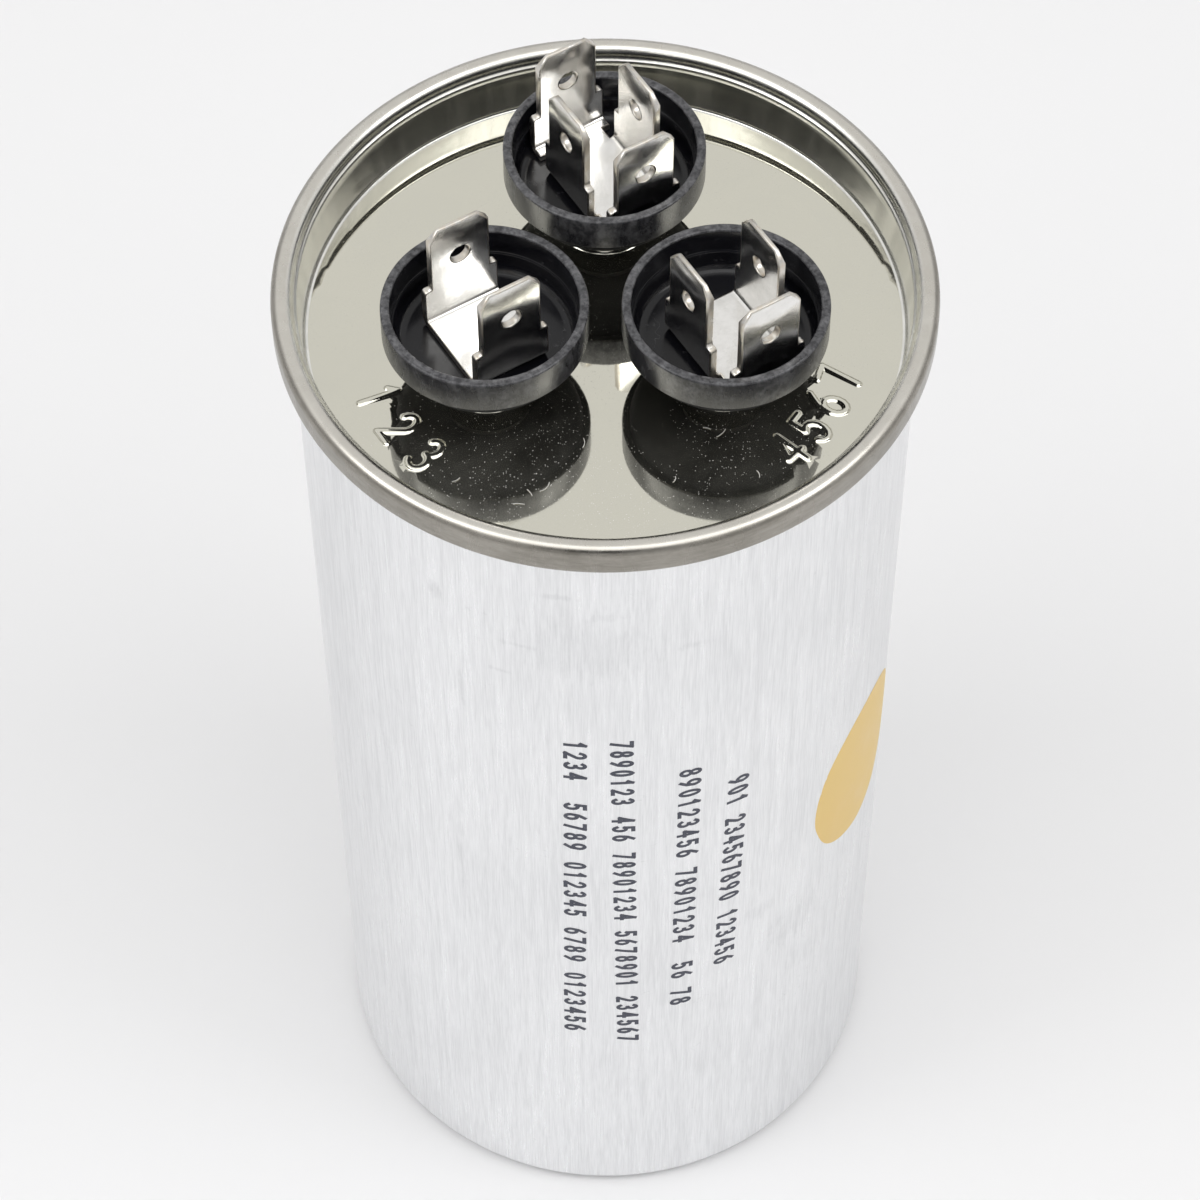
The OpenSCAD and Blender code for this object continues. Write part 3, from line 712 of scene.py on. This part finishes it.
def buildCup(post, materials):
    v = cupValues
    radius, rimTop = cupRadius, cupHigh.z
    floorTop = rimTop - v["depth"]
    base = floorTop - v["floor"]
    inside = radius - v["wall"]
    bowlIn, bowlOut = inside - v["ledgeWidth"], radius - v["step"]
    bandFoot = rimTop - v["band"]
    rimRound, bandRound = v["rimRound"], v["bandRound"]
    ledge, bevel = rimTop - v["ledgeDepth"], v["ledgeBevel"]
    under = [(v["boreRadius"], cupLow.z), (v["stemRadius"], cupLow.z), (v["stemRadius"], base)]
    under += arc(bowlOut - v["bowlRound"], base + v["bowlRound"], v["bowlRound"], -90, 0, 14)
    under += [(bowlOut, bandFoot), (radius - bandRound, bandFoot)]
    band = arc(radius - bandRound, bandFoot + bandRound, bandRound, -90, 0, 4)[1:]
    band += arc(radius - rimRound, rimTop - rimRound, rimRound, 0, 90, 6)
    band += arc(inside + rimRound, rimTop - rimRound, rimRound, 90, 180, 6)
    hollow = [(inside, ledge + bevel), (inside - bevel, ledge), (bowlIn + 0.8 * bevel, ledge),
              (bowlIn, ledge - bevel)]
    hollow += arc(bowlIn - v["fillet"], floorTop + v["fillet"], v["fillet"], 0, -90, 10)
    hollow += [(v["headSeat"], floorTop), (v["headSeat"], floorTop - v["headDepth"]),
               (v["boreRadius"], floorTop - v["headDepth"])]
    work = bmesh.new()
    revolve(work, under + band + hollow, posts[post], v["sides"],
            finishes=[2] * len(under) + [1] * len(band) + [0] * len(hollow))
    piece = addMesh("cup" + post.capitalize(), work, materials)
    sharpen = piece.modifiers.new("keepEdges", "EDGE_SPLIT")
    sharpen.split_angle = math.radians(v["splitAngle"])
    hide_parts("cup_" + post)
    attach(piece, "root")


bladeValues = {
    "sheet": 0.8 * mm,
    "foldRadius": 0.4 * mm,
    "width": 6.35 * mm,
    "length": 7.7 * mm,
    "shoulders": 7.9 * mm,
    "shoulderRound": 0.4 * mm,
    "neck": 6.2 * mm,
    "wideRun": 0.8 * mm,
    "holeRadius": 1.0 * mm,
    "holeDrop": 4.3 * mm,
    "tipCutWidth": 1.0 * mm,
    "tipCutHeight": 1.2 * mm,
    "tipBevel": 0.44 * mm,
    "tipThin": 0.45,             # share of the sheet left at the very tip
    "edgeRound": 0.13 * mm,
    "longGap": 13.2 * mm,
    "sideGap": 7.0 * mm,
    "shortGap": 8.4 * mm,
    "turn": 31.6 - 90,           # of the front blade about its post, in degrees
    "holeSides": 24,
    "foldSteps": 6,              # round each fold, and across each half of it
    "colour": (0.88, 0.87, 0.85),
    "dullColour": (0.73, 0.72, 0.69),
    "roughness": (0.15, 0.27),
    "smearScale": 350,
    "waveScale": 210,
    "pitScale": 3000,
    "faceBump": (0.5, 0.03 * mm),
    "cutColour": (0.66, 0.60, 0.51),
    "cutRoughness": (0.24, 0.40),
    "cutScale": (1500, 1500, 900),
    "cutBump": (0.25, 0.05 * mm),
}


def bladeMaterials():
    # tinned faces, and cut edges where the brass shows through
    v = bladeValues
    faces, tree, shader = newMaterial("tinnedBrass")
    smears = noiseAt(tree, v["smearScale"], detail=5, rough=0.7)
    waves = noiseAt(tree, v["waveScale"], detail=2)
    pits = noiseAt(tree, v["pitScale"])
    tone = addShares(tree, (remap(tree, smears, 0.38, 0.72), 0.8), (remap(tree, pits, 0.62, 0.75), 0.5))
    colour = blendColour(tree, tone, v["colour"], v["dullColour"])
    setInputs(tree, shader, {"Base Color": colour, "Metallic": 1.0,
                             "Roughness": remap(tree, smears, 0.35, 0.7, *v["roughness"])})
    addBump(tree, shader, addShares(tree, (waves, 6.0), (pits, 0.35)), *v["faceBump"])

    edges, tree, shader = newMaterial("cutEdge")
    mottle = noiseAt(tree, v["cutScale"], detail=4, rough=0.7)
    colour = blendColour(tree, remap(tree, mottle, 0.35, 0.65), v["dullColour"], v["cutColour"])
    setInputs(tree, shader, {"Base Color": colour, "Metallic": 1.0,
                             "Roughness": remap(tree, mottle, 0.3, 0.7, *v["cutRoughness"])})
    addBump(tree, shader, mottle, *v["cutBump"])
    return [faces, edges]


def armOutline(foldAt, neck, rise):
    # half the outline of one arm, from the plate to the tip, as (distance out, half width)
    v = bladeValues
    full, blade, r = v["shoulders"] / 2, v["width"] / 2, v["shoulderRound"]
    bend = math.pi / 2 * (v["foldRadius"] + v["sheet"] / 2)
    foot = foldAt + bend
    shoulder = foot + rise - v["length"]
    tip = foot + rise
    half = []
    if neck:
        wide = foldAt - v["wideRun"]
        half += [(wide, neck / 2), (wide, full)]
    half += [(foldAt + bend * t / v["foldSteps"], full) for t in range(v["foldSteps"] + 1)]
    half += [(shoulder - r - (shoulder - r - foot) * t, full) for t in (0.66, 0.33)]
    half += arc(shoulder - r, full - r, r, 90, 12, 4)
    half += [(shoulder, blade + 0.02 * mm)]
    half += [(shoulder + (tip - v["tipCutHeight"] - shoulder) * t, blade) for t in (0.1, 0.35, 0.65, 1.0)]
    half += [(tip, blade - v["tipCutWidth"])]
    return half, tip - v["holeDrop"], tip


def insetLoop(points, inset):
    # moves a closed outline inward by inset; it runs anticlockwise when its inside is kept
    moved = []
    count = len(points)
    for i in range(count):
        before, here, after = points[i - 1], points[i], points[(i + 1) % count]
        first, second = (here - before).normalized(), (after - here).normalized()
        normal = Vector((-first.y - second.y, first.x + second.x))
        if normal.length < 1e-6:
            normal = Vector((-first.y, first.x))
        normal.normalize()
        scale = max(normal.dot(Vector((-first.y, first.x))), 0.35)
        moved.append(here + normal * inset / scale)
    return moved


def foldSheet(x, y, depth, arms):
    # a point of the flat blank, depth above its underside, carried to its place on the folded bracket
    v = bladeValues
    thick, inner = v["sheet"], v["foldRadius"]
    arm = None
    for direction, fold, half, tip in arms:
        out = x * direction.x + y * direction.y
        across = -x * direction.y + y * direction.x
        if out > fold and abs(across) <= half:
            if arm is None or out - fold > arm[1] - arm[3]:
                arm = (direction, out, across, fold, tip)
    if arm is None:
        return Vector((x, y, depth))
    direction, out, across, fold, tip = arm
    thin = smoothStep(tip - v["tipBevel"], tip, out)
    depth = thick / 2 + (depth - thick / 2) * (1 - (1 - v["tipThin"]) * thin)
    radius, middle = inner + thick - depth, inner + thick / 2
    angle = min((out - fold) / middle, math.pi / 2)
    beyond = max(out - fold - math.pi / 2 * middle, 0.0)
    reach = fold + radius * math.sin(angle)
    height = thick + inner - radius * math.cos(angle) + beyond
    return Vector((direction.x * reach - direction.y * across,
                   direction.y * reach + direction.x * across, height))


def bracketArms(post):
    # arms of one bracket, as (direction, distance to its fold, neck width)
    v = bladeValues
    gaps = (v["longGap"], v["sideGap"], v["shortGap"])
    longFold, sideFold, shortFold = (gap / 2 - v["foldRadius"] for gap in gaps)
    front, rear, right, left = (Vector(way) for way in ((1, 0), (-1, 0), (0, 1), (0, -1)))
    if post == "fan":
        return [(front, shortFold, None), (rear, shortFold, None)]
    arms = [(front, longFold, v["neck"]), (right, sideFold, None)]
    if post == "common":
        arms.append((rear, longFold, v["neck"]))
    return arms + [(left, sideFold, None)]


def bracketBlank(post, rise):
    # the flat blank: its outline, the middles of its holes, its arms and its fold lines
    full = bladeValues["shoulders"] / 2
    outline, holes, arms, folds = [], [], [], []
    for direction, fold, neck in bracketArms(post):
        half, holeAt, tip = armOutline(fold, neck, rise)
        side = Vector((-direction.y, direction.x))
        edge = [direction * out - side * across for out, across in half]
        edge += [direction * out + side * across for out, across in reversed(half)]
        if neck:
            # the neck leaves the plate between the two side folds
            edge.insert(0, direction * full - side * neck / 2)
            edge.append(direction * full + side * neck / 2)
        outline += edge
        holes.append(direction * holeAt)
        arms.append((direction, fold, full + 0.05 * mm, tip))
        folds.append((direction, side, fold))
    return {"outline": tidyLoop(outline), "holes": holes, "arms": arms, "folds": folds}


def holeLoop(centre):
    # runs the other way round from the outline, so that insetting it widens the hole
    v = bladeValues
    angles = [2 * math.pi * i / v["holeSides"] for i in range(v["holeSides"])]
    return [centre + Vector((math.cos(a), -math.sin(a))) * v["holeRadius"] for a in angles]


def edgeLevels():
    # the rounded edge, as (distance in from the outline, depth in the sheet), from below to above
    r, sheet = bladeValues["edgeRound"], bladeValues["sheet"]
    levels = [(r + 0.03 * mm, 0.0)]
    for degrees in (0, 30, 60, 90):
        a = math.radians(degrees)
        levels.append((r * (1 - math.sin(a)), r * (1 - math.cos(a))))
    return levels + [(inset, sheet - depth) for inset, depth in reversed(levels)]


def closeSheet(work, loops, depth, blank, flip):
    # one side of the sheet, between loops that are already placed, divided along the folds
    v = bladeValues
    points, edges, known = [], [], []
    for flat, ring in loops:
        first, count = len(points), len(flat)
        points += flat
        known += ring
        edges += [(first + i, first + (i + 1) % count) for i in range(count)]
    steps = v["foldSteps"]
    bend = math.pi / 2 * (v["foldRadius"] + v["sheet"] / 2)
    reach = v["shoulders"] / 2 - 0.3 * mm
    for direction, side, fold in blank["folds"]:
        for k in range(steps + 1):
            for step in range(-steps, steps + 1):
                points.append(direction * (fold + bend * k / steps) + side * step * reach / steps)
    flat, _, faces, origins, _, _ = delaunay_2d_cdt(points, edges, [], 1, 1e-8)
    verts = []
    for place, origin in zip(flat, origins):
        placed = [known[k] for k in origin if k < len(known)]
        verts.append(placed[0] if placed else work.verts.new(foldSheet(*place, depth, blank["arms"])))
    for face in faces:
        middle = sum((flat[i] for i in face), Vector((0, 0))) / len(face)
        if any((middle - centre).length < v["holeRadius"] for centre in blank["holes"]):
            continue
        order = [verts[i] for i in face]
        if len(set(order)) == len(order):
            work.faces.new(order[::-1] if flip else order)


def buildTerminal(post, materials):
    v = bladeValues
    low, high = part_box("terminal_" + post)
    blank = bracketBlank(post, high.z - low.z - v["sheet"] - v["foldRadius"])
    levels = edgeLevels()
    under, over = [], []
    work = bmesh.new()
    for loop in [blank["outline"]] + [holeLoop(centre) for centre in blank["holes"]]:
        flats = [insetLoop(loop, inset) for inset, _ in levels]
        rings = []
        for flat, (_, depth) in zip(flats, levels):
            rings.append([work.verts.new(foldSheet(*place, depth, blank["arms"])) for place in flat])
        for below, above in zip(rings, rings[1:]):
            for i in range(len(below)):
                j = (i + 1) % len(below)
                work.faces.new((below[i], below[j], above[j], above[i])).material_index = 1
        under.append((flats[0], rings[0]))
        over.append((flats[-1], rings[-1]))
    closeSheet(work, under, levels[0][1], blank, True)
    closeSheet(work, over, levels[-1][1], blank, False)
    place = Matrix.Translation((posts[post].x, posts[post].y, low.z))
    turn = Matrix.Rotation(math.radians(v["turn"]), 4, "Z")
    bmesh.ops.transform(work, matrix=place @ turn, verts=work.verts)
    piece = addMesh("terminal" + post.capitalize(), work, materials)
    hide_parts("terminal_" + post)
    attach(piece, "root")
    print("terminal", post, len(piece.data.polygons), "faces")


def tidyLoop(points):
    # drops points that repeat the one before
    kept = []
    for point in points:
        if not kept or (point - kept[-1]).length > 0.02 * mm:
            kept.append(point)
    if (kept[0] - kept[-1]).length < 0.02 * mm:
        kept.pop()
    return kept


printValues = {
    "lift": 0.012 * mm,
    "height": 2.4 * mm,
    "stroke": 0.43 * mm,
    "widthShare": 0.70,          # of a numeral in its slot
    "endShare": 0.9,             # of half a stroke, added at its ends
    "pointStep": 0.35 * mm,      # along a stroke, so that it can follow the round wall
    "layerStep": 0.002 * mm,     # each stroke lies a little higher, so that none share a surface
    "colours": ((0.042, 0.046, 0.070), (0.30, 0.31, 0.34)),
    "roughness": (0.38, 0.60),
    "wornScale": 2400,
    "bump": (0.10, 0.02 * mm),
    # angle about the can at the row's start and end, start and end height, and digits in each group
    "rows": [(264.0, 263.1, 92.7, 34.7, (4, 2, 5, 1, 6, 1, 4, 1, 7)),
             (272.7, 274.2, 92.9, 32.6, (7, 1, 3, 1, 8, 1, 7, 1, 6)),
             (286.0, 285.1, 86.2, 39.0, (9, 1, 8, 2, 2, 1, 2)),
             (296.1, 294.3, 81.9, 45.1, (3, 1, 9, 1, 6))],
}


def onCan(angle, across, height, lift):
    # a place on the can's wall, given an angle, a distance round from it, a height and a lift
    a = math.radians(angle) + across / canRadius
    reach = canRadius + lift
    return Vector((reach * math.cos(a), reach * math.sin(a), height))


def inkMaterial():
    v = printValues
    material, tree, shader = newMaterial("printedInk")
    worn = noiseAt(tree, v["wornScale"], detail=4, rough=0.7)
    colour = blendColour(tree, remap(tree, worn, 0.55, 0.75, 0.0, 0.45), *v["colours"])
    setInputs(tree, shader, {"Base Color": colour,
                             "Roughness": remap(tree, worn, 0.3, 0.7, *v["roughness"])})
    addBump(tree, shader, worn, *v["bump"])
    return material


def splitAtCorners(points, step):
    # cuts a stroke where it turns sharply, and adds points along it
    runs, run = [], [points[0]]
    for i in range(1, len(points)):
        start, end = points[i - 1], points[i]
        count = max(int((end - start).length / step), 1)
        run += [start + (end - start) * k / count for k in range(1, count + 1)]
        if i + 1 < len(points) and (end - start).normalized().dot((points[i + 1] - end).normalized()) < 0.6:
            runs.append(run)
            run = [end]
    return runs + [run]


def buildPrint():
    # rows of plain counting numerals, read downward
    v = printValues
    work = bmesh.new()
    count = 0
    for startAngle, endAngle, startHeight, endHeight, groups in v["rows"]:
        slots = sum(groups)
        pitch = (startHeight - endHeight) * mm / slots
        slot = 0
        for index, size in enumerate(groups):
            for k in range(size if index % 2 == 0 else 0):
                count += 1
                t = (slot + k) / slots
                angle = startAngle + (endAngle - startAngle) * t
                top = startHeight * mm - (slot + k) * pitch
                addInkNumeral(work, count % 10, angle, top, pitch * v["widthShare"])
            slot += size
    piece = addMesh("printedRows", work, [inkMaterial()], smooth=False)
    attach(piece, "root")
    print("print built:", count, "numerals")


def addInkNumeral(work, digit, angle, top, width):
    v = printValues
    half = v["stroke"] / 2
    spread, rise = width - v["stroke"], v["height"] - v["stroke"]
    lift = v["lift"]
    for stroke in digitStrokes[digit]:
        points = [Vector((x / digitWidth * spread, (y - 0.5) * rise)) for x, y in stroke]
        for run in splitAtCorners(points, v["pointStep"]):
            last = None
            for i, here in enumerate(run):
                along = (run[min(i + 1, len(run) - 1)] - run[max(i - 1, 0)]).normalized()
                if i == 0:
                    here = here - along * half * v["endShare"]
                if i == len(run) - 1:
                    here = here + along * half * v["endShare"]
                across = Vector((-along.y, along.x)) * half
                pair = [work.verts.new(onCan(angle, place.y, top - place.x, lift))
                        for place in (here + across, here - across)]
                if last:
                    work.faces.new((last[0], pair[0], pair[1], last[1]))
                last = pair
            lift += v["layerStep"]


paintValues = {
    "angle": 334.0,
    "height": 64.0 * mm,
    "halfWidth": 9.2 * mm,
    "halfHeight": 11.2 * mm,
    "lift": 0.03 * mm,
    "edgeLift": 0.004 * mm,
    "edgeFrom": 0.9,             # of the way out, where the paint thins
    "ragged": 0.02,              # share of its size
    "raggedScale": 2.2,          # noise waves over the radius
    "sides": 72,
    "rings": 14,
    "colours": ((0.74, 0.50, 0.13), (0.76, 0.54, 0.18)),
    "roughness": (0.30, 0.45),
    "cloudScale": (260, 260, 160),
    "grainScale": 1500,
    "bump": (0.15, 0.04 * mm),
}


def paintMaterial():
    v = paintValues
    material, tree, shader = newMaterial("inspectionPaint")
    clouds = noiseAt(tree, v["cloudScale"], detail=4)
    colour = blendColour(tree, remap(tree, clouds, 0.35, 0.7), *v["colours"])
    setInputs(tree, shader, {"Base Color": colour,
                             "Roughness": remap(tree, clouds, 0.3, 0.7, *v["roughness"])})
    addBump(tree, shader, noiseAt(tree, v["grainScale"]), *v["bump"])
    return material


def buildPaintMark():
    # a dab of paint, thin at its ragged edge
    v = paintValues
    work = bmesh.new()
    sides = v["sides"]
    centre = work.verts.new(onCan(v["angle"], 0.0, v["height"], v["lift"] + v["edgeLift"]))
    rings = []
    for k in range(1, v["rings"] + 1):
        t = k / v["rings"]
        lift = v["lift"] * (1 - smoothStep(v["edgeFrom"], 1.0, t)) + v["edgeLift"]
        ring = []
        for i in range(sides):
            x, y = math.cos(2 * math.pi * i / sides), math.sin(2 * math.pi * i / sides)
            wave = noise.noise(Vector((x * v["raggedScale"], y * v["raggedScale"], 5.0)))
            out = t * (1 + v["ragged"] * wave)
            ring.append(work.verts.new(onCan(v["angle"], x * out * v["halfWidth"],
                                             v["height"] + y * out * v["halfHeight"], lift)))
        rings.append(ring)
    for i in range(sides):
        work.faces.new((centre, rings[0][i], rings[0][(i + 1) % sides]))
    for below, above in zip(rings, rings[1:]):
        for i in range(sides):
            j = (i + 1) % sides
            work.faces.new((below[i], above[i], above[j], below[j]))
    piece = addMesh("paintMark", work, [paintMaterial()])
    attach(piece, "root")
    print("paint mark built")


hiddenFinishes = {
    # slot in the record: colour, second colour, metallic, roughness, noise scale per metre
    "rivet_steel": ((0.62, 0.62, 0.62), (0.50, 0.50, 0.50), 1.0, 0.30, 1800),
    "seal_rubber": ((0.025, 0.025, 0.025), (0.05, 0.05, 0.05), 0.0, 0.65, 2500),
    "washer_plastic": ((0.30, 0.16, 0.09), (0.22, 0.11, 0.06), 0.0, 0.50, 1500),
    "contact_brass": ((0.78, 0.60, 0.30), (0.62, 0.45, 0.20), 1.0, 0.28, 1500),
    "lead_copper": ((0.82, 0.76, 0.66), (0.66, 0.58, 0.48), 1.0, 0.30, 1500),
    "disc_board": ((0.35, 0.20, 0.11), (0.25, 0.13, 0.07), 0.0, 0.55, 900),
    "liner_board": ((0.72, 0.62, 0.46), (0.60, 0.50, 0.35), 0.0, 0.80, 1200),
    "core_plastic": ((0.85, 0.83, 0.76), (0.78, 0.75, 0.68), 0.0, 0.45, 900),
    "film_roll": ((0.78, 0.78, 0.76), (0.62, 0.62, 0.60), 0.6, 0.22, 400),
    "barrier_film": ((0.70, 0.66, 0.42), (0.60, 0.55, 0.34), 0.0, 0.30, 700),
    "end_spray": ((0.45, 0.46, 0.48), (0.30, 0.31, 0.33), 0.9, 0.75, 3500),
}


def hiddenMaterial(slot):
    colour, second, metallic, roughness, scale = hiddenFinishes[slot]
    material, tree, shader = newMaterial(slot + "Finish")
    mottle = noiseAt(tree, scale, detail=4)
    rougher = min(roughness * 1.15, 1.0)
    setInputs(tree, shader, {"Base Color": blendColour(tree, mottle, colour, second), "Metallic": metallic,
                             "Roughness": remap(tree, mottle, 0.3, 0.7, roughness * 0.85, rougher)})
    addBump(tree, shader, mottle, 0.2, 0.05 * mm)
    return material


def dressHidden():
    made = {}
    for part in frame["record"]["subparts"]:
        slot = part["material_slot"]
        if slot not in hiddenFinishes:
            continue
        if slot not in made:
            made[slot] = hiddenMaterial(slot)
        for place in frame["nodes"][part["node"]].material_slots:
            place.material = made[slot]
    print("hidden solids dressed with", len(made), "finishes")


studioValues = {
    "floorColours": ((0.80, 0.80, 0.807), (0.78, 0.78, 0.787)),
    "floorScale": 3,
    "floorRoughness": 0.9,
    "floorGloss": 0.1,
    "floorSides": 96,
    "floorSteps": 8,
    "floorSize": 1.6,
    "sweepRise": 1.2,
    "worldColour": (1.0, 0.995, 0.985),
    "worldLight": 0.86,
    # the studio is open and dim on the side that the object is seen from
    "openingHeight": 34.0,       # degrees above the horizon
    "openingWidth": (9.0, 24.0),             # degrees from its middle, where it begins and stops to fade
    "openingColour": (0.08, 0.08, 0.085),
    "elevation": 54.77,          # degrees, how far the camera looks down
    "distance": 429.4 * mm,      # from the camera to its target
    "target": (-0.636 * mm, 0.371 * mm, 74.05 * mm),
    "roll": -0.283,              # degrees
    "lens": 122.1,
    "sensor": 36,
    "lampTarget": (0, 0, 0.08),
    # name, place, size, power in watts
    "lamps": [("overheadSoft", (0.0, -0.35, 0.96), (1.30, 0.56), 2.7),
              ("rightSoft", (0.66, -0.20, 0.82), (0.40, 0.40), 1.6),
              ("leftSoft", (-0.66, -0.20, 0.82), (0.40, 0.40), 1.6)],
}


def buildFloor():
    # one pale sheet, curved up all round so that no horizon shows
    v = studioValues
    work = bmesh.new()
    section = [(v["floorSize"] * k / v["floorSteps"], 0.0) for k in range(v["floorSteps"] + 1)]
    section += [(v["floorSize"] + v["sweepRise"] * math.sin(math.radians(a)),
                 v["sweepRise"] * (1 - math.cos(math.radians(a)))) for a in range(6, 91, 6)]
    revolve(work, section, (0, 0), v["floorSides"], closed=False)
    material, tree, shader = newMaterial("floorPaper")
    clouds = remap(tree, noiseAt(tree, v["floorScale"], detail=2), 0.3, 0.7, 0.0, 0.25)
    setInputs(tree, shader, {"Base Color": blendColour(tree, clouds, *v["floorColours"]),
                             "Roughness": v["floorRoughness"], "Specular IOR Level": v["floorGloss"]})
    piece = addMesh("studioFloor", work, [material])
    print("floor laid")


def buildLight():
    v = studioValues
    world = bpy.data.worlds.new("studioWorld")
    world.use_nodes = True
    tree = world.node_tree
    shade = tree.nodes["Background"]
    shade.inputs["Strength"].default_value = v["worldLight"]
    # a dim opening in an otherwise even surround, which the camera itself doesn't see
    height = math.radians(v["openingHeight"])
    toward = (0, -math.cos(height), math.sin(height))
    where = addNode(tree, "ShaderNodeTexCoord").outputs["Generated"]
    facing = vectorMaths(tree, "DOT_PRODUCT", where, toward).outputs["Value"]
    near, far = (math.cos(math.radians(angle)) for angle in v["openingWidth"])
    seen = addNode(tree, "ShaderNodeLightPath").outputs["Is Camera Ray"]
    dim = multiply(tree, remap(tree, facing, far, near, smooth=True), maths(tree, "SUBTRACT", 1.0, seen))
    tree.links.new(blendColour(tree, dim, v["worldColour"], v["openingColour"]), shade.inputs["Color"])
    bpy.context.scene.world = world
    for name, place, size, power in v["lamps"]:
        data = bpy.data.lights.new(name, "AREA")
        data.shape = "RECTANGLE"
        data.size, data.size_y = size
        data.energy = power
        lamp = bpy.data.objects.new(name, data)
        lamp.location = place
        aim = Vector(v["lampTarget"]) - Vector(place)
        lamp.rotation_euler = aim.to_track_quat("-Z", "Y").to_euler()
        bpy.context.scene.collection.objects.link(lamp)
    print("lamps placed:", len(v["lamps"]))


def buildCamera():
    v = studioValues
    tilt, roll = math.radians(v["elevation"]), math.radians(v["roll"])
    forward = Vector((0, math.cos(tilt), -math.sin(tilt)))
    right = Vector((1, 0, 0))
    up = right.cross(forward)
    turnedRight = right * math.cos(roll) + up * math.sin(roll)
    turnedUp = up * math.cos(roll) - right * math.sin(roll)
    data = bpy.data.cameras.new("camera")
    data.lens = v["lens"]
    data.sensor_width = v["sensor"]
    data.clip_start = 0.01
    camera = bpy.data.objects.new("camera", data)
    place = Vector(v["target"]) - forward * v["distance"]
    basis = Matrix((turnedRight, turnedUp, -forward)).transposed().to_4x4()
    camera.matrix_world = Matrix.Translation(place) @ basis
    bpy.context.scene.collection.objects.link(camera)
    bpy.context.scene.camera = camera
    bpy.context.scene.view_settings.view_transform = "Standard"


buildCamera()
buildFloor()
buildLight()
buildCan()
buildLid()
buildFibres()
cupFinishes = cupMaterials()
for post in posts:
    buildCup(post, cupFinishes)
print("cups built")
bladeFinishes = bladeMaterials()
for post in posts:
    buildTerminal(post, bladeFinishes)
buildPrint()
buildPaintMark()
dressHidden()
